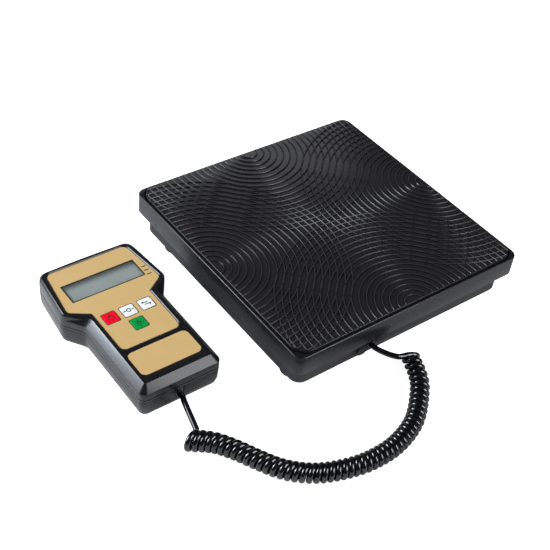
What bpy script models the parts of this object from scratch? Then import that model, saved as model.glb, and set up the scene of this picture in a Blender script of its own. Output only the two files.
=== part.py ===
"""Platform scale with a corded hand-held display.

Units are metres, +Z is up and z = 0 is the floor. The square platform stands on the right and the handset
lies on its back on the left, so that the origin is under the middle of the two.
"""
import math

import bmesh
import bpy
from mathutils import Vector

# Gaps that keep neighbouring solids apart
SEAT_GAP = 0.0003
SIDE_GAP = 0.0003

# Platform cover and mat
PLATFORM_SIDE = 0.230
PLATFORM_CORNER = 0.0075
SKIRT_HEIGHT = 0.0181
SKIRT_WALL = 0.0025
RIM_BEVEL = 0.0008
RIM_WIDTH = 0.0013
COVER_PLATE = 0.002
MAT_RECESS = 0.002
MAT_THICKNESS = 0.0036
MAT_CORNER = 0.0135
MAT_SIDE_GAP = 0.0006
RIB_HEIGHT = 0.0010
RIB_HALF_WIDTH = 0.0013
RIB_ROOT = 0.0004
RIB_FIRST = 0.0084
RIB_PITCH = 0.0120
RIB_STEPS = 7
RIB_STAGGER = 0.0001

# Base tray and feet
BASE_INSET = 0.0066
BASE_CORNER = 0.009
BASE_WALL = 0.003
BASE_FLOOR = 0.003
BASE_EDGE = 0.0012
BASE_TOP_GAP = 0.004
FOOT_RADIUS = 0.010
FOOT_DROP = 0.0048
FOOT_RECESS = 0.001
FOOT_EDGE = 0.0012
FOOT_SIDE_INSET = 0.0114
FOOT_FRONT_INSET = 0.0195
FOOT_REAR_INSET = 0.0313
FRONT_BOSS_WIDTH = 0.0098
FRONT_BOSS_HEIGHT = 0.0080
FRONT_BOSS_DEPTH = 0.0015
FRONT_BOSS_OFFSET = -0.0453
FRONT_BOSS_LIFT = 0.0018
DIMPLE_PLACES = [(-0.0364, 0.0147), (-0.0279, 0.0122)]
DIMPLE_RADIUS = 0.0012
DIMPLE_DEPTH = 0.0015

# Load cell, spacers, bolts and spider
CELL_LENGTH = 0.130
CELL_WIDTH = 0.030
CELL_HEIGHT = 0.0223
CELL_HOLE_RADIUS = 0.0065
CELL_HOLE_SPACING = 0.022
CELL_SLOT = 0.004
SPACER_LENGTH = 0.032
SPACER_THICKNESS = 0.002
BOLT_RADIUS = 0.003
BOLT_HEAD_RADIUS = 0.005
BOLT_HEAD_HEIGHT = 0.0023
BOLT_END_INSET = 0.008
BOLT_PITCH = 0.016
BOLT_GRIP = 0.010
SPIDER_THICKNESS = 0.0025
SPIDER_REACH = PLATFORM_SIDE / 2 - 0.027
SPIDER_ARM = 0.030
SPIDER_FILLET = 0.012
SPIDER_CORNER = 0.004
COVER_SCREW_RADIUS = 0.0018
COVER_SCREW_HEAD = 0.0035
COVER_SCREW_INSET = 0.012
COUNTERSINK = 0.0016

# Overload stops
PLATFORM_TRAVEL = 0.0005
STOP_RADIUS = 0.0025
STOP_PLACE = PLATFORM_SIDE / 2 - 0.055
STOP_BOSS_RADIUS = 0.006
STOP_BOSS_HEIGHT = 0.012

# Handset case
HANDSET_GAP = 0.0255
HANDSET_LENGTH = 0.1486
HANDSET_HEIGHT = 0.030
HANDSET_END = -0.0715
SEAM_HEIGHT = 0.016
SEAM_GAP = 0.0003
HEAD_WIDTH = 0.092
HEAD_TOP_WIDTH = 0.083
HEAD_CROWN = 0.0012
HEAD_CROWN_RADIUS = 1.0
HEAD_CORNER = 0.008
SHOULDER_FROM_TOP = 0.0500
SHOULDER_CORNER = 0.009
NECK_FROM_TOP = 0.0663
NECK_CORNER = 0.011
GRIP_WIDTH = 0.0688
GRIP_CORNER = 0.005
CASE_WALL = 0.0022
CHAMFER_WIDTH = 0.0056
CHAMFER_HEIGHT = 0.0056
CHAMFER_CORNER = 0.0015
HEAD_ROUND = 0.0018
FACE_SHOULDER_SHIFT = 0.0025
FACE_NECK_SHIFT = 0.0015
LOWER_EDGE = 0.004
LOWER_EDGE_HEIGHT = 0.006

# Handset front: labels, window and keys
LABEL_THICKNESS = 0.0005
LABEL_SINK = 0.0008
LABEL_LIP = 0.0008
LABEL_MARGIN_TOP = 0.0053
LABEL_TOP_WIDTH = 0.0704
LABEL_WIDTH = 0.0816
LABEL_SHOULDER_FROM_TOP = 0.0505
LABEL_NECK_FROM_TOP = 0.0607
LABEL_NECK_WIDTH = 0.0504
LABEL_NECK_CORNER = 0.0008
LABEL_GRIP_WIDTH = 0.0500
LABEL_LENGTH = 0.1008
LABEL_CORNER = 0.0045
SMALL_LABEL_WIDTH = 0.0516
SMALL_LABEL_HEIGHT = 0.0248
SMALL_LABEL_SINK = 0.0002
SMALL_LABEL_SPACE = 0.0052
WINDOW_WIDTH = 0.063
WINDOW_HEIGHT = 0.0195
WINDOW_FROM_TOP = 0.0331
WINDOW_THICKNESS = 0.001
PANEL_MARGIN = 0.0028
PANEL_THICKNESS = 0.0031
PANEL_FRAME_WALL = 0.0017
PANEL_FRAME_FLOOR = 0.0016
KEY_SIZE = 0.0112
KEY_PITCH = 0.0156
KEY_ROW_FROM_TOP = 0.0718
KEY_FLANGE = 0.0009
KEY_FLANGE_THICKNESS = 0.0011
KEY_PROUD = 0.0004
KEY_EDGE = 0.0004
KEY_CORNER = 0.0011
KEY_TRAVEL = 0.0004

# Handset inside
BOARD_THICKNESS = 0.0016
BOARD_SIDE_GAP = 0.004
BOARD_TOP_GAP = 0.0075
BOARD_NECK_WIDTH = 0.058
BOARD_LENGTH = 0.094
SWITCH_SIZE = 0.006
SWITCH_BODY = 0.0024
SWITCH_BUTTON_RADIUS = 0.0017
POST_RADIUS = 0.0038
POST_HEAD_X = 0.0355
POST_HEAD_FROM_TOP = 0.0113
POST_NECK_X = 0.0245
POST_NECK_FROM_TOP = 0.0958
CASE_SCREW_RADIUS = 0.0013
CASE_SCREW_HEAD = 0.0024
CASE_SCREW_HEAD_HEIGHT = 0.0015
CASE_SCREW_BITE = 0.004
CASE_SCREW_SINK = 0.008
BATTERY_LENGTH = 0.0485
BATTERY_WIDTH = 0.0265
BATTERY_HEIGHT = 0.0175
BATTERY_END_GAP = 0.0055
TERMINAL_HEIGHT = 0.0026
TERMINAL_RADIUS = 0.0036
TERMINAL_SPACING = 0.0127
SNAP_THICKNESS = 0.004
BATTERY_COVER_MARGIN = 0.0015
BATTERY_COVER_TRAVEL = 0.020
NOTCH_WIDTH = 0.0076
NOTCH_OFFSET = -0.0021
NOTCH_CENTRE_HEIGHT = 0.0096
BUSH_LENGTH = 0.0036
BUSH_SINK = 0.0005

# Cord, grommet and the cell's own lead
CORD_DIAMETER = 0.0038
CURL_RADIUS = 0.0059
CURL_COUNT = 50.5
CURL_SPACING = [4.6, 5.0, 5.0, 4.8, 4.7, 4.6, 4.6, 4.7, 5.4, 6.2, 6.5]
CURL_POINTS = 8
CORD_FLOOR_GAP = 0.00005
GROMMET_OFFSET = -0.0370
GROMMET_HEIGHT = 0.0094
GROMMET_RADIUS = 0.0030
GROMMET_FLANGE_RADIUS = 0.0036
GROMMET_BARB_RADIUS = 0.0036
GROMMET_FLANGE = 0.0012
CELL_LEAD_RADIUS = 0.0015
CELL_LEAD_CLEARANCE = 0.009

# Axis of the curls on the floor, from the handset's end to the platform's end
CURL_AXIS = [
    (-0.1489, -0.1088), (-0.1332, -0.1219), (-0.1239, -0.1350), (-0.1162, -0.1494),
    (-0.1058, -0.1662), (-0.0902, -0.1802), (-0.0705, -0.1890), (-0.0479, -0.1936),
    (-0.0224, -0.1923), (0.0038, -0.1824), (0.0270, -0.1628), (0.0372, -0.1492),
    (0.0440, -0.1342),
]
# Free points of the two leads, each from its housing towards the curls
HANDSET_LEAD = [
    (-0.1305, -0.0783, 0.0088), (-0.1319, -0.0851, 0.0070), (-0.1328, -0.0914, 0.0050),
    (-0.1340, -0.0980, 0.0034), (-0.1353, -0.1016, 0.0024), (-0.1395, -0.1030, 0.0021),
]
PLATFORM_LEAD = [
    (0.0229, -0.1148, 0.0130), (0.0253, -0.1222, 0.0122), (0.0305, -0.1288, 0.0125),
    (0.0357, -0.1332, 0.0134),
]

# Roundness of the meshes
CORNER_STEPS = 4
ROUND_SIDES = 20
SCREW_SIDES = 12

# Heights of the platform, stacked from the floor up
base_bottom = FOOT_DROP
base_floor_top = base_bottom + BASE_FLOOR
lower_spacer_low = base_floor_top + SEAT_GAP
lower_spacer_high = lower_spacer_low + SPACER_THICKNESS
cell_low = lower_spacer_high + SEAT_GAP
cell_high = cell_low + CELL_HEIGHT
upper_spacer_low = cell_high + PLATFORM_TRAVEL + SEAT_GAP
upper_spacer_high = upper_spacer_low + SPACER_THICKNESS
spider_low = upper_spacer_high + SEAT_GAP
spider_high = spider_low + SPIDER_THICKNESS
cover_under = spider_high + SEAT_GAP
mat_seat = cover_under + COVER_PLATE
rim_height = mat_seat + MAT_RECESS
skirt_low = rim_height - SKIRT_HEIGHT
base_top = cover_under - BASE_TOP_GAP

# Reference lines of the two halves
base_half = PLATFORM_SIDE / 2 - BASE_INSET
handset_top = HANDSET_END + HANDSET_LENGTH
case_roof = HANDSET_HEIGHT - CASE_WALL
label_face = HANDSET_HEIGHT - LABEL_SINK
label_seat = label_face - LABEL_THICKNESS - SEAT_GAP
small_label_seat = HANDSET_HEIGHT - SMALL_LABEL_SINK - LABEL_THICKNESS - SEAT_GAP

# Heights inside the handset, worked down from the roof of the case
panel_top = case_roof - SEAT_GAP
panel_low = panel_top - PANEL_THICKNESS
frame_floor_top = panel_low - SEAT_GAP
frame_low = frame_floor_top - PANEL_FRAME_FLOOR
board_top = frame_low - SEAT_GAP
board_low = board_top - BOARD_THICKNESS
battery_low = CASE_WALL + SEAT_GAP
key_flange_top = case_roof - SEAT_GAP
key_low = key_flange_top - KEY_FLANGE_THICKNESS
switch_top = key_low - KEY_TRAVEL - SEAT_GAP

for old in list(bpy.data.objects):
    bpy.data.objects.remove(old, do_unlink=True)


def finish(name, colour, roughness, metallic=0.0):
    """Make a plain material with the finish of one sub-part."""
    made = bpy.data.materials.new(name)
    made.use_nodes = True
    shader = made.node_tree.nodes["Principled BSDF"]
    shader.inputs["Base Color"].default_value = (*colour, 1.0)
    shader.inputs["Roughness"].default_value = roughness
    shader.inputs["Metallic"].default_value = metallic
    return made


BLACK_SHELL = finish("satin black plastic", (0.020, 0.020, 0.022), 0.42)
BLACK_BASE = finish("matte black plastic", (0.016, 0.016, 0.017), 0.55)
MAT_RUBBER = finish("mat rubber", (0.019, 0.018, 0.019), 0.62)
FOOT_RUBBER = finish("foot rubber", (0.012, 0.012, 0.012), 0.80)
CORD_JACKET = finish("cord jacket", (0.006, 0.006, 0.006), 0.22)
ALUMINIUM = finish("machined aluminium", (0.72, 0.72, 0.73), 0.35, 1.0)
STEEL = finish("zinc plated steel", (0.55, 0.56, 0.58), 0.32, 1.0)
GOLD_FILM = finish("gold label film", (0.66, 0.47, 0.20), 0.45, 0.2)
GREY_LENS = finish("grey display lens", (0.27, 0.31, 0.31), 0.12)
LCD_GLASS = finish("display glass", (0.30, 0.36, 0.33), 0.20)
WHITE_FRAME = finish("white backlight frame", (0.80, 0.80, 0.78), 0.50)
GREEN_BOARD = finish("circuit board", (0.02, 0.16, 0.06), 0.40)
SWITCH_BLACK = finish("switch body", (0.02, 0.02, 0.02), 0.45)
KEY_RED = finish("red key", (0.75, 0.01, 0.02), 0.40)
KEY_WHITE = finish("white key", (0.85, 0.85, 0.85), 0.40)
KEY_GREEN = finish("green key", (0.00, 0.30, 0.08), 0.40)
BATTERY_CASE = finish("battery case", (0.10, 0.10, 0.11), 0.35, 0.3)


# One empty carries each half of the object
PLATFORM = bpy.data.objects.new("platform_frame", None)
HANDSET = bpy.data.objects.new("handset_frame", None)
for empty in (PLATFORM, HANDSET):
    bpy.context.collection.objects.link(empty)


def rounded(corners, steps=CORNER_STEPS):
    """Round each corner (x, y, radius) of a polygon with an arc and return its points."""
    points = []
    for index, (x, y, radius) in enumerate(corners):
        here = Vector((x, y))
        before = Vector(corners[index - 1][:2]) - here
        after = Vector(corners[(index + 1) % len(corners)][:2]) - here
        half = before.angle(after) / 2
        start = before.normalized() * radius / math.tan(half)
        middle = (before.normalized() + after.normalized()).normalized() * radius / math.sin(half)
        turn = math.pi - 2 * half
        if before.x * after.y - before.y * after.x > 0:
            turn = -turn
        for step in range(steps + 1):
            angle = turn * step / steps
            arm = start - middle
            swung = Vector((arm.x * math.cos(angle) - arm.y * math.sin(angle),
                            arm.x * math.sin(angle) + arm.y * math.cos(angle)))
            points.append(here + middle + swung)
    return points


def box_outline(width, depth, radius, x=0.0, y=0.0):
    """Outline of a rectangle with round corners, anticlockwise, about (x, y)."""
    right, back = width / 2, depth / 2
    return rounded([(x + right, y - back, radius), (x + right, y + back, radius),
                    (x - right, y + back, radius), (x - right, y - back, radius)])


def circle(radius, x=0.0, y=0.0, sides=ROUND_SIDES):
    """Points of a circle about (x, y)."""
    angles = [2 * math.pi * side / sides for side in range(sides)]
    return [Vector((x + radius * math.cos(angle), y + radius * math.sin(angle))) for angle in angles]


def at_height(outline, z):
    """One ring of a solid: an outline lifted to height z."""
    return [Vector((point.x, point.y, z)) for point in outline]


def prism(outline, low, high):
    """Rings of an outline extruded from one height to another."""
    return [at_height(outline, low), at_height(outline, high)]


def turned(profile, x=0.0, y=0.0, sides=ROUND_SIDES):
    """Rings of a solid of revolution about a vertical axis, from (radius, height) pairs."""
    return [at_height(circle(radius, x, y, sides), height) for radius, height in profile]


def facing_front(solid, x, y, z):
    """Lay a solid modelled along +Z down so that it points along -Y from (x, y, z)."""
    return [[Vector((x + point.x, y - point.z, z + point.y)) for point in ring] for ring in solid]


def facing_back(solid, x, y, z):
    """Lay a solid modelled along +Z down so that it points along +Y from (x, y, z)."""
    return [[Vector((x - point.x, y + point.z, z + point.y)) for point in ring] for ring in solid]


def mesh_of(name, solids):
    """Skin each solid's rings, close its two ends and turn all faces outwards."""
    shape = bmesh.new()
    for rings in solids:
        loops = [[shape.verts.new(point) for point in ring] for ring in rings]
        for low, high in zip(loops, loops[1:]):
            for index in range(len(low)):
                after = (index + 1) % len(low)
                shape.faces.new((low[index], low[after], high[after], high[index]))
        shape.faces.new(loops[0][::-1])
        shape.faces.new(loops[-1])
    bmesh.ops.recalc_face_normals(shape, faces=shape.faces)
    mesh = bpy.data.meshes.new(name)
    shape.to_mesh(mesh)
    shape.free()
    mesh.shade_smooth()
    mesh.set_sharp_from_angle(angle=math.radians(35))
    return mesh


def piece(name, solid, material, parent, place=(0.0, 0.0, 0.0)):
    """Add one sub-part to its half of the object, with its origin at place."""
    mesh = mesh_of(name, [solid])
    mesh.materials.append(material)
    made = bpy.data.objects.new(name, mesh)
    bpy.context.collection.objects.link(made)
    made.parent = parent
    made.location = place
    return made


def combine(target, operation, solids):
    """Join solids to a sub-part, cut them from it, or keep only what they share with it."""
    tool = bpy.data.objects.new(target.name + "_" + operation.lower(), mesh_of("tool", solids))
    bpy.context.collection.objects.link(tool)
    tool.parent = target.parent
    tool.location = target.location
    tool.hide_render = True
    tool.display_type = "WIRE"
    step = target.modifiers.new(operation.title(), "BOOLEAN")
    step.operation = operation
    step.object = tool
    return tool


def corners_of(x, y):
    """The four places (x, y) mirrored about both axes, front left first."""
    return [(-x, -y), (x, -y), (x, y), (-x, y)]


def square_plan(inset, radius):
    """Plan of the platform drawn in by an inset."""
    side = PLATFORM_SIDE - 2 * inset
    return box_outline(side, side, radius)


# Feet and base tray
foot_x = base_half - FOOT_SIDE_INSET
foot_front = -base_half + FOOT_FRONT_INSET
foot_rear = base_half - FOOT_REAR_INSET
foot_places = [(-foot_x, foot_front), (foot_x, foot_front), (foot_x, foot_rear), (-foot_x, foot_rear)]
foot_names = ["front_left", "front_right", "rear_right", "rear_left"]

stop_places = corners_of(STOP_PLACE, STOP_PLACE)
cell_half = CELL_LENGTH / 2
bolt_offsets = [cell_half - BOLT_END_INSET, cell_half - BOLT_END_INSET - BOLT_PITCH]
grommet_z = base_bottom + GROMMET_HEIGHT

base_tray = piece("base_tray", [
    at_height(square_plan(BASE_INSET + BASE_WALL, BASE_CORNER - BASE_WALL), base_floor_top),
    at_height(square_plan(BASE_INSET + BASE_WALL, BASE_CORNER - BASE_WALL), base_top),
    at_height(square_plan(BASE_INSET, BASE_CORNER), base_top),
    at_height(square_plan(BASE_INSET, BASE_CORNER), base_bottom + BASE_EDGE),
    at_height(square_plan(BASE_INSET + 0.3 * BASE_EDGE, BASE_CORNER), base_bottom + 0.3 * BASE_EDGE),
    at_height(square_plan(BASE_INSET + BASE_EDGE, BASE_CORNER), base_bottom),
], BLACK_BASE, PLATFORM)
stop_bosses = [prism(circle(STOP_BOSS_RADIUS, x, y), base_floor_top - BASE_FLOOR / 2,
                     base_floor_top + STOP_BOSS_HEIGHT) for x, y in stop_places]
boss_plan = box_outline(FRONT_BOSS_WIDTH, FRONT_BOSS_HEIGHT, FRONT_BOSS_HEIGHT / 2 - SIDE_GAP)
boss_middle = base_bottom + FRONT_BOSS_LIFT + FRONT_BOSS_HEIGHT / 2
front_boss = facing_front(prism(boss_plan, -BASE_WALL / 2, FRONT_BOSS_DEPTH), FRONT_BOSS_OFFSET, -base_half,
                          boss_middle)
combine(base_tray, "UNION", stop_bosses + [front_boss])
stop_bores = [prism(circle(STOP_RADIUS + SIDE_GAP, x, y, SCREW_SIDES), base_floor_top + SEAT_GAP, cover_under)
              for x, y in stop_places]
foot_recesses = [prism(circle(FOOT_RADIUS + SIDE_GAP, x, y), 0.0, base_bottom + FOOT_RECESS)
                 for x, y in foot_places]
bolt_holes = [prism(circle(BOLT_RADIUS + SIDE_GAP, -x, 0.0, SCREW_SIDES), 0.0, lower_spacer_high)
              for x in bolt_offsets]
grommet_hole = facing_front(prism(circle(GROMMET_RADIUS + SIDE_GAP), -2 * BASE_WALL, BASE_WALL),
                            GROMMET_OFFSET, -base_half, grommet_z)
dimples = [facing_front(prism(circle(DIMPLE_RADIUS, sides=SCREW_SIDES), -DIMPLE_DEPTH, BASE_WALL), x,
                        -base_half, base_bottom + height) for x, height in DIMPLE_PLACES]
combine(base_tray, "DIFFERENCE", stop_bores + foot_recesses + bolt_holes + dimples + [grommet_hole])

for (x, y), corner in zip(foot_places, foot_names):
    foot_high = base_bottom + FOOT_RECESS - SEAT_GAP
    piece("foot_" + corner, turned([(FOOT_RADIUS - FOOT_EDGE, 0.0), (FOOT_RADIUS, FOOT_EDGE),
                                    (FOOT_RADIUS, foot_high)]), FOOT_RUBBER, PLATFORM, (x, y, 0.0))

# Load cell with its milled double hole, spacers and bolts
cell = piece("load_cell", prism(box_outline(CELL_LENGTH, CELL_WIDTH, 0.0005), cell_low, cell_high), ALUMINIUM,
             PLATFORM)
cell_middle = (cell_low + cell_high) / 2
slot_half = CELL_SLOT / 2
hole_angle = math.asin(slot_half / CELL_HOLE_RADIUS)


def double_hole():
    """Outline of two round holes joined by a slot, the sensing waist of the cell."""
    points = []
    for side in (1, -1):
        for step in range(SCREW_SIDES + 1):
            angle = math.pi + hole_angle + (2 * math.pi - 2 * hole_angle) * step / SCREW_SIDES
            points.append(Vector((side * (CELL_HOLE_SPACING / 2 + CELL_HOLE_RADIUS * math.cos(angle)),
                                  side * CELL_HOLE_RADIUS * math.sin(angle))))
    return points


cell_bolt_bores = []
for x in bolt_offsets:
    cell_bolt_bores.append(prism(circle(BOLT_RADIUS + SIDE_GAP, -x, 0.0, SCREW_SIDES), 0.0,
                                 cell_low + BOLT_GRIP + SEAT_GAP))
    cell_bolt_bores.append(prism(circle(BOLT_RADIUS + SIDE_GAP, x, 0.0, SCREW_SIDES),
                                 cell_high - BOLT_GRIP - PLATFORM_TRAVEL - SEAT_GAP, cover_under))
waist = facing_front(prism(double_hole(), -CELL_WIDTH, CELL_WIDTH), 0.0, 0.0, cell_middle)
combine(cell, "DIFFERENCE", cell_bolt_bores + [waist])

spacer_middle = cell_half - SPACER_LENGTH / 2
for name, side, low, high in (("lower_spacer", -1, lower_spacer_low, lower_spacer_high),
                              ("upper_spacer", 1, upper_spacer_low, upper_spacer_high)):
    spacer_plan = box_outline(SPACER_LENGTH, CELL_WIDTH, 0.001, side * spacer_middle)
    spacer = piece(name, prism(spacer_plan, low, high), STEEL, PLATFORM)
    spacer_holes = [prism(circle(BOLT_RADIUS + SIDE_GAP, side * x, 0.0, SCREW_SIDES), 0.0, cover_under)
                    for x in bolt_offsets]
    combine(spacer, "DIFFERENCE", spacer_holes)

for number, x in enumerate(bolt_offsets, 1):
    head_high = base_bottom - SEAT_GAP
    piece(f"lower_cell_bolt_{number}", turned([
        (BOLT_HEAD_RADIUS, head_high - BOLT_HEAD_HEIGHT), (BOLT_HEAD_RADIUS, head_high),
        (BOLT_RADIUS, head_high), (BOLT_RADIUS, cell_low + BOLT_GRIP)], sides=SCREW_SIDES), STEEL, PLATFORM,
        (-x, 0.0, 0.0))
    sunk = spider_high - SEAT_GAP
    piece(f"upper_cell_bolt_{number}", turned([
        (BOLT_RADIUS, cell_high - BOLT_GRIP), (BOLT_RADIUS, sunk - COUNTERSINK), (BOLT_HEAD_RADIUS, sunk)],
        sides=SCREW_SIDES), STEEL, PLATFORM, (x, 0.0, 0.0))

# Spider that carries the cover, with countersunk holes for the cell's bolts
arm = SPIDER_ARM / math.sqrt(2)
quarter = [(SPIDER_REACH, SPIDER_REACH - arm, SPIDER_CORNER), (SPIDER_REACH, SPIDER_REACH, SPIDER_CORNER),
           (SPIDER_REACH - arm, SPIDER_REACH, SPIDER_CORNER), (0.0, arm, SPIDER_FILLET)]
spider_corners = []
for turn in range(4):
    for x, y, radius in quarter:
        for _ in range(turn):
            x, y = -y, x
        spider_corners.append((x, y, radius))
spider = piece("spider", prism(rounded(spider_corners), spider_low, spider_high), STEEL, PLATFORM)


def countersunk(shank, head, top, x, y, bottom):
    """Solid of a flat-headed screw hole, with its clearance, up through the plate it sits in."""
    shank_radius = shank + SIDE_GAP
    head_radius = head + SIDE_GAP
    seat = top - SEAT_GAP / 2
    return turned([(shank_radius, bottom), (shank_radius, seat - COUNTERSINK), (head_radius, seat),
                   (head_radius, top + MAT_RECESS)], x, y, SCREW_SIDES)


cover_screw_place = SPIDER_REACH - COVER_SCREW_INSET
cover_screw_places = corners_of(cover_screw_place, cover_screw_place)
spider_holes = [countersunk(BOLT_RADIUS, BOLT_HEAD_RADIUS, spider_high - SEAT_GAP, x, 0.0, cell_high)
                for x in bolt_offsets]
for x, y in cover_screw_places:
    spider_holes.append(prism(circle(COVER_SCREW_RADIUS + SIDE_GAP, x, y, SCREW_SIDES), cell_high, mat_seat))
combine(spider, "DIFFERENCE", spider_holes)

for (x, y), corner in zip(stop_places, foot_names):
    stop_top = spider_low - PLATFORM_TRAVEL - SEAT_GAP
    stop_low = base_floor_top + 2 * SEAT_GAP
    stop_side = [(STOP_RADIUS, stop_low), (STOP_RADIUS, stop_top)]
    piece("stop_screw_" + corner, turned(stop_side, sides=SCREW_SIDES), STEEL, PLATFORM, (x, y, 0.0))

# Cover, its screws and the mat that hides them
recess_corner = MAT_CORNER + MAT_SIDE_GAP
top_cover = piece("top_cover", [
    at_height(square_plan(SKIRT_WALL, PLATFORM_CORNER - SKIRT_WALL), cover_under),
    at_height(square_plan(SKIRT_WALL, PLATFORM_CORNER - SKIRT_WALL), skirt_low),
    at_height(square_plan(0.0, PLATFORM_CORNER), skirt_low),
    at_height(square_plan(0.0, PLATFORM_CORNER), rim_height - RIM_BEVEL),
    at_height(square_plan(0.3 * RIM_BEVEL, PLATFORM_CORNER), rim_height - 0.3 * RIM_BEVEL),
    at_height(square_plan(RIM_BEVEL, PLATFORM_CORNER), rim_height),
    at_height(square_plan(RIM_WIDTH, recess_corner), rim_height),
    at_height(square_plan(RIM_WIDTH, recess_corner), mat_seat),
], BLACK_SHELL, PLATFORM)
screw_head_top = mat_seat - SEAT_GAP / 3
cover_holes = [countersunk(COVER_SCREW_RADIUS, COVER_SCREW_HEAD, screw_head_top, x, y, spider_low)
               for x, y in cover_screw_places]
combine(top_cover, "DIFFERENCE", cover_holes)
for (x, y), corner in zip(cover_screw_places, foot_names):
    piece("cover_screw_" + corner, turned([
        (COVER_SCREW_RADIUS, spider_low + SEAT_GAP), (COVER_SCREW_RADIUS, screw_head_top - COUNTERSINK),
        (COVER_SCREW_HEAD, screw_head_top)], sides=SCREW_SIDES), STEEL, PLATFORM, (x, y, 0.0))

mat_inset = RIM_WIDTH + MAT_SIDE_GAP
mat_top = mat_seat + SEAT_GAP + MAT_THICKNESS
mat_low = mat_seat + SEAT_GAP
mat_field = mat_top - RIB_HEIGHT
mat_half = PLATFORM_SIDE / 2 - mat_inset
rib_count = int((mat_half - RIB_FIRST) / RIB_PITCH) + 1
trim = 2 * RIB_HALF_WIDTH
mat_sheet = prism(square_plan(mat_inset - trim, MAT_CORNER), mat_low, mat_field)
rubber_mat = piece("rubber_mat", mat_sheet, MAT_RUBBER, PLATFORM)


def ripple(radius, heading, crest):
    """Solid of one half-round rib about the middle of the mat's side that lies in a heading."""
    spill = math.asin(trim / radius)
    bends = []
    for step in range(RIB_STEPS + 1):
        angle = heading + math.pi / 2 - spill + (math.pi + 2 * spill) * step / RIB_STEPS
        out = Vector((math.cos(angle), math.sin(angle), 0.0))
        middle = mat_half * Vector((math.cos(heading), math.sin(heading), 0.0)) + radius * out
        root = Vector((0.0, 0.0, mat_field - RIB_ROOT))
        bends.append([middle - RIB_HALF_WIDTH * out + root, middle + RIB_HALF_WIDTH * out + root,
                      middle + Vector((0.0, 0.0, crest))])
    return bends


for side in range(4):
    crest = mat_top - RIB_STAGGER * (side % 2)
    heading = side * math.pi / 2
    ripples = [ripple(RIB_FIRST + number * RIB_PITCH, heading, crest) for number in range(rib_count)]
    combine(rubber_mat, "UNION", ripples)
combine(rubber_mat, "INTERSECT", [prism(square_plan(mat_inset, MAT_CORNER), cover_under, mat_top + trim)])

# Grommet in the front wall of the base
wall_behind = BASE_WALL + SEAT_GAP
piece("cord_grommet", facing_front(turned([
    (GROMMET_BARB_RADIUS, -wall_behind - GROMMET_FLANGE), (GROMMET_BARB_RADIUS, -wall_behind),
    (GROMMET_RADIUS, -wall_behind), (GROMMET_RADIUS, SEAT_GAP), (GROMMET_FLANGE_RADIUS, SEAT_GAP),
    (GROMMET_FLANGE_RADIUS, SEAT_GAP + GROMMET_FLANGE)]), 0.0, 0.0, 0.0), CORD_JACKET, PLATFORM,
    (GROMMET_OFFSET, -base_half, grommet_z))


# Handset case in two shells
def case_plan(head, grip, lift, corner):
    """Plan of the case, drawn in at the head and round the grip; lift runs from the side up to the face."""
    top = handset_top - head
    shoulder = handset_top - SHOULDER_FROM_TOP - FACE_SHOULDER_SHIFT * lift
    neck = handset_top - NECK_FROM_TOP + FACE_NECK_SHIFT * lift
    end = HANDSET_END + grip
    half = [(HEAD_TOP_WIDTH / 2 - head, top - HEAD_CROWN, HEAD_CORNER - head), (0.0, top, HEAD_CROWN_RADIUS)]
    left = [(-HEAD_TOP_WIDTH / 2 + head, top - HEAD_CROWN, HEAD_CORNER - head),
            (-HEAD_WIDTH / 2 + head, shoulder, SHOULDER_CORNER - head),
            (-GRIP_WIDTH / 2 + grip, neck, NECK_CORNER - head), (-GRIP_WIDTH / 2 + grip, end, corner)]
    right = [(-x, y, radius) for x, y, radius in left[:0:-1]]
    return rounded(half + left + right)


seam_low = SEAM_HEIGHT - SEAM_GAP / 2
seam_high = SEAM_HEIGHT + SEAM_GAP / 2
chamfer_low = HANDSET_HEIGHT - CHAMFER_HEIGHT
wall_plan = case_plan(CASE_WALL, CASE_WALL, 0.0, GRIP_CORNER - CASE_WALL)
side_plan = case_plan(0.0, 0.0, 0.0, GRIP_CORNER)

# The two halves stand side by side, with the origin under the middle of both
head_half = max(point.x for point in side_plan)
total_width = PLATFORM_SIDE + HANDSET_GAP + 2 * head_half
PLATFORM.location.x = (total_width - PLATFORM_SIDE) / 2
HANDSET.location.x = head_half - total_width / 2

upper_shell = piece("upper_shell", [
    at_height(case_plan(HEAD_ROUND + CASE_WALL, CHAMFER_WIDTH + 0.25 * CASE_WALL, 1.0, CHAMFER_CORNER),
              case_roof),
    at_height(wall_plan, chamfer_low - 0.3 * CASE_WALL),
    at_height(wall_plan, seam_high),
    at_height(side_plan, seam_high),
    at_height(side_plan, chamfer_low),
    at_height(case_plan(0.2 * HEAD_ROUND, 0.7 * CHAMFER_WIDTH, 0.7, 2 * CHAMFER_CORNER),
              chamfer_low + 0.7 * CHAMFER_HEIGHT),
    at_height(case_plan(HEAD_ROUND, CHAMFER_WIDTH, 1.0, CHAMFER_CORNER), HANDSET_HEIGHT),
], BLACK_SHELL, HANDSET)

post_neck = handset_top - POST_NECK_FROM_TOP
post_head = handset_top - POST_HEAD_FROM_TOP
post_places = [(-POST_NECK_X, post_neck), (POST_NECK_X, post_neck), (POST_HEAD_X, post_head),
               (-POST_HEAD_X, post_head)]
post_low = board_top + SEAT_GAP
screw_tip = post_low + CASE_SCREW_BITE
upper_posts = [prism(circle(POST_RADIUS, x, y, SCREW_SIDES), post_low, case_roof + CASE_WALL / 4)
               for x, y in post_places]
combine(upper_shell, "UNION", upper_posts)

label_top = handset_top - LABEL_MARGIN_TOP
label_low = label_top - LABEL_LENGTH
label_shoulder = handset_top - LABEL_SHOULDER_FROM_TOP
label_neck = handset_top - LABEL_NECK_FROM_TOP


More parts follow.
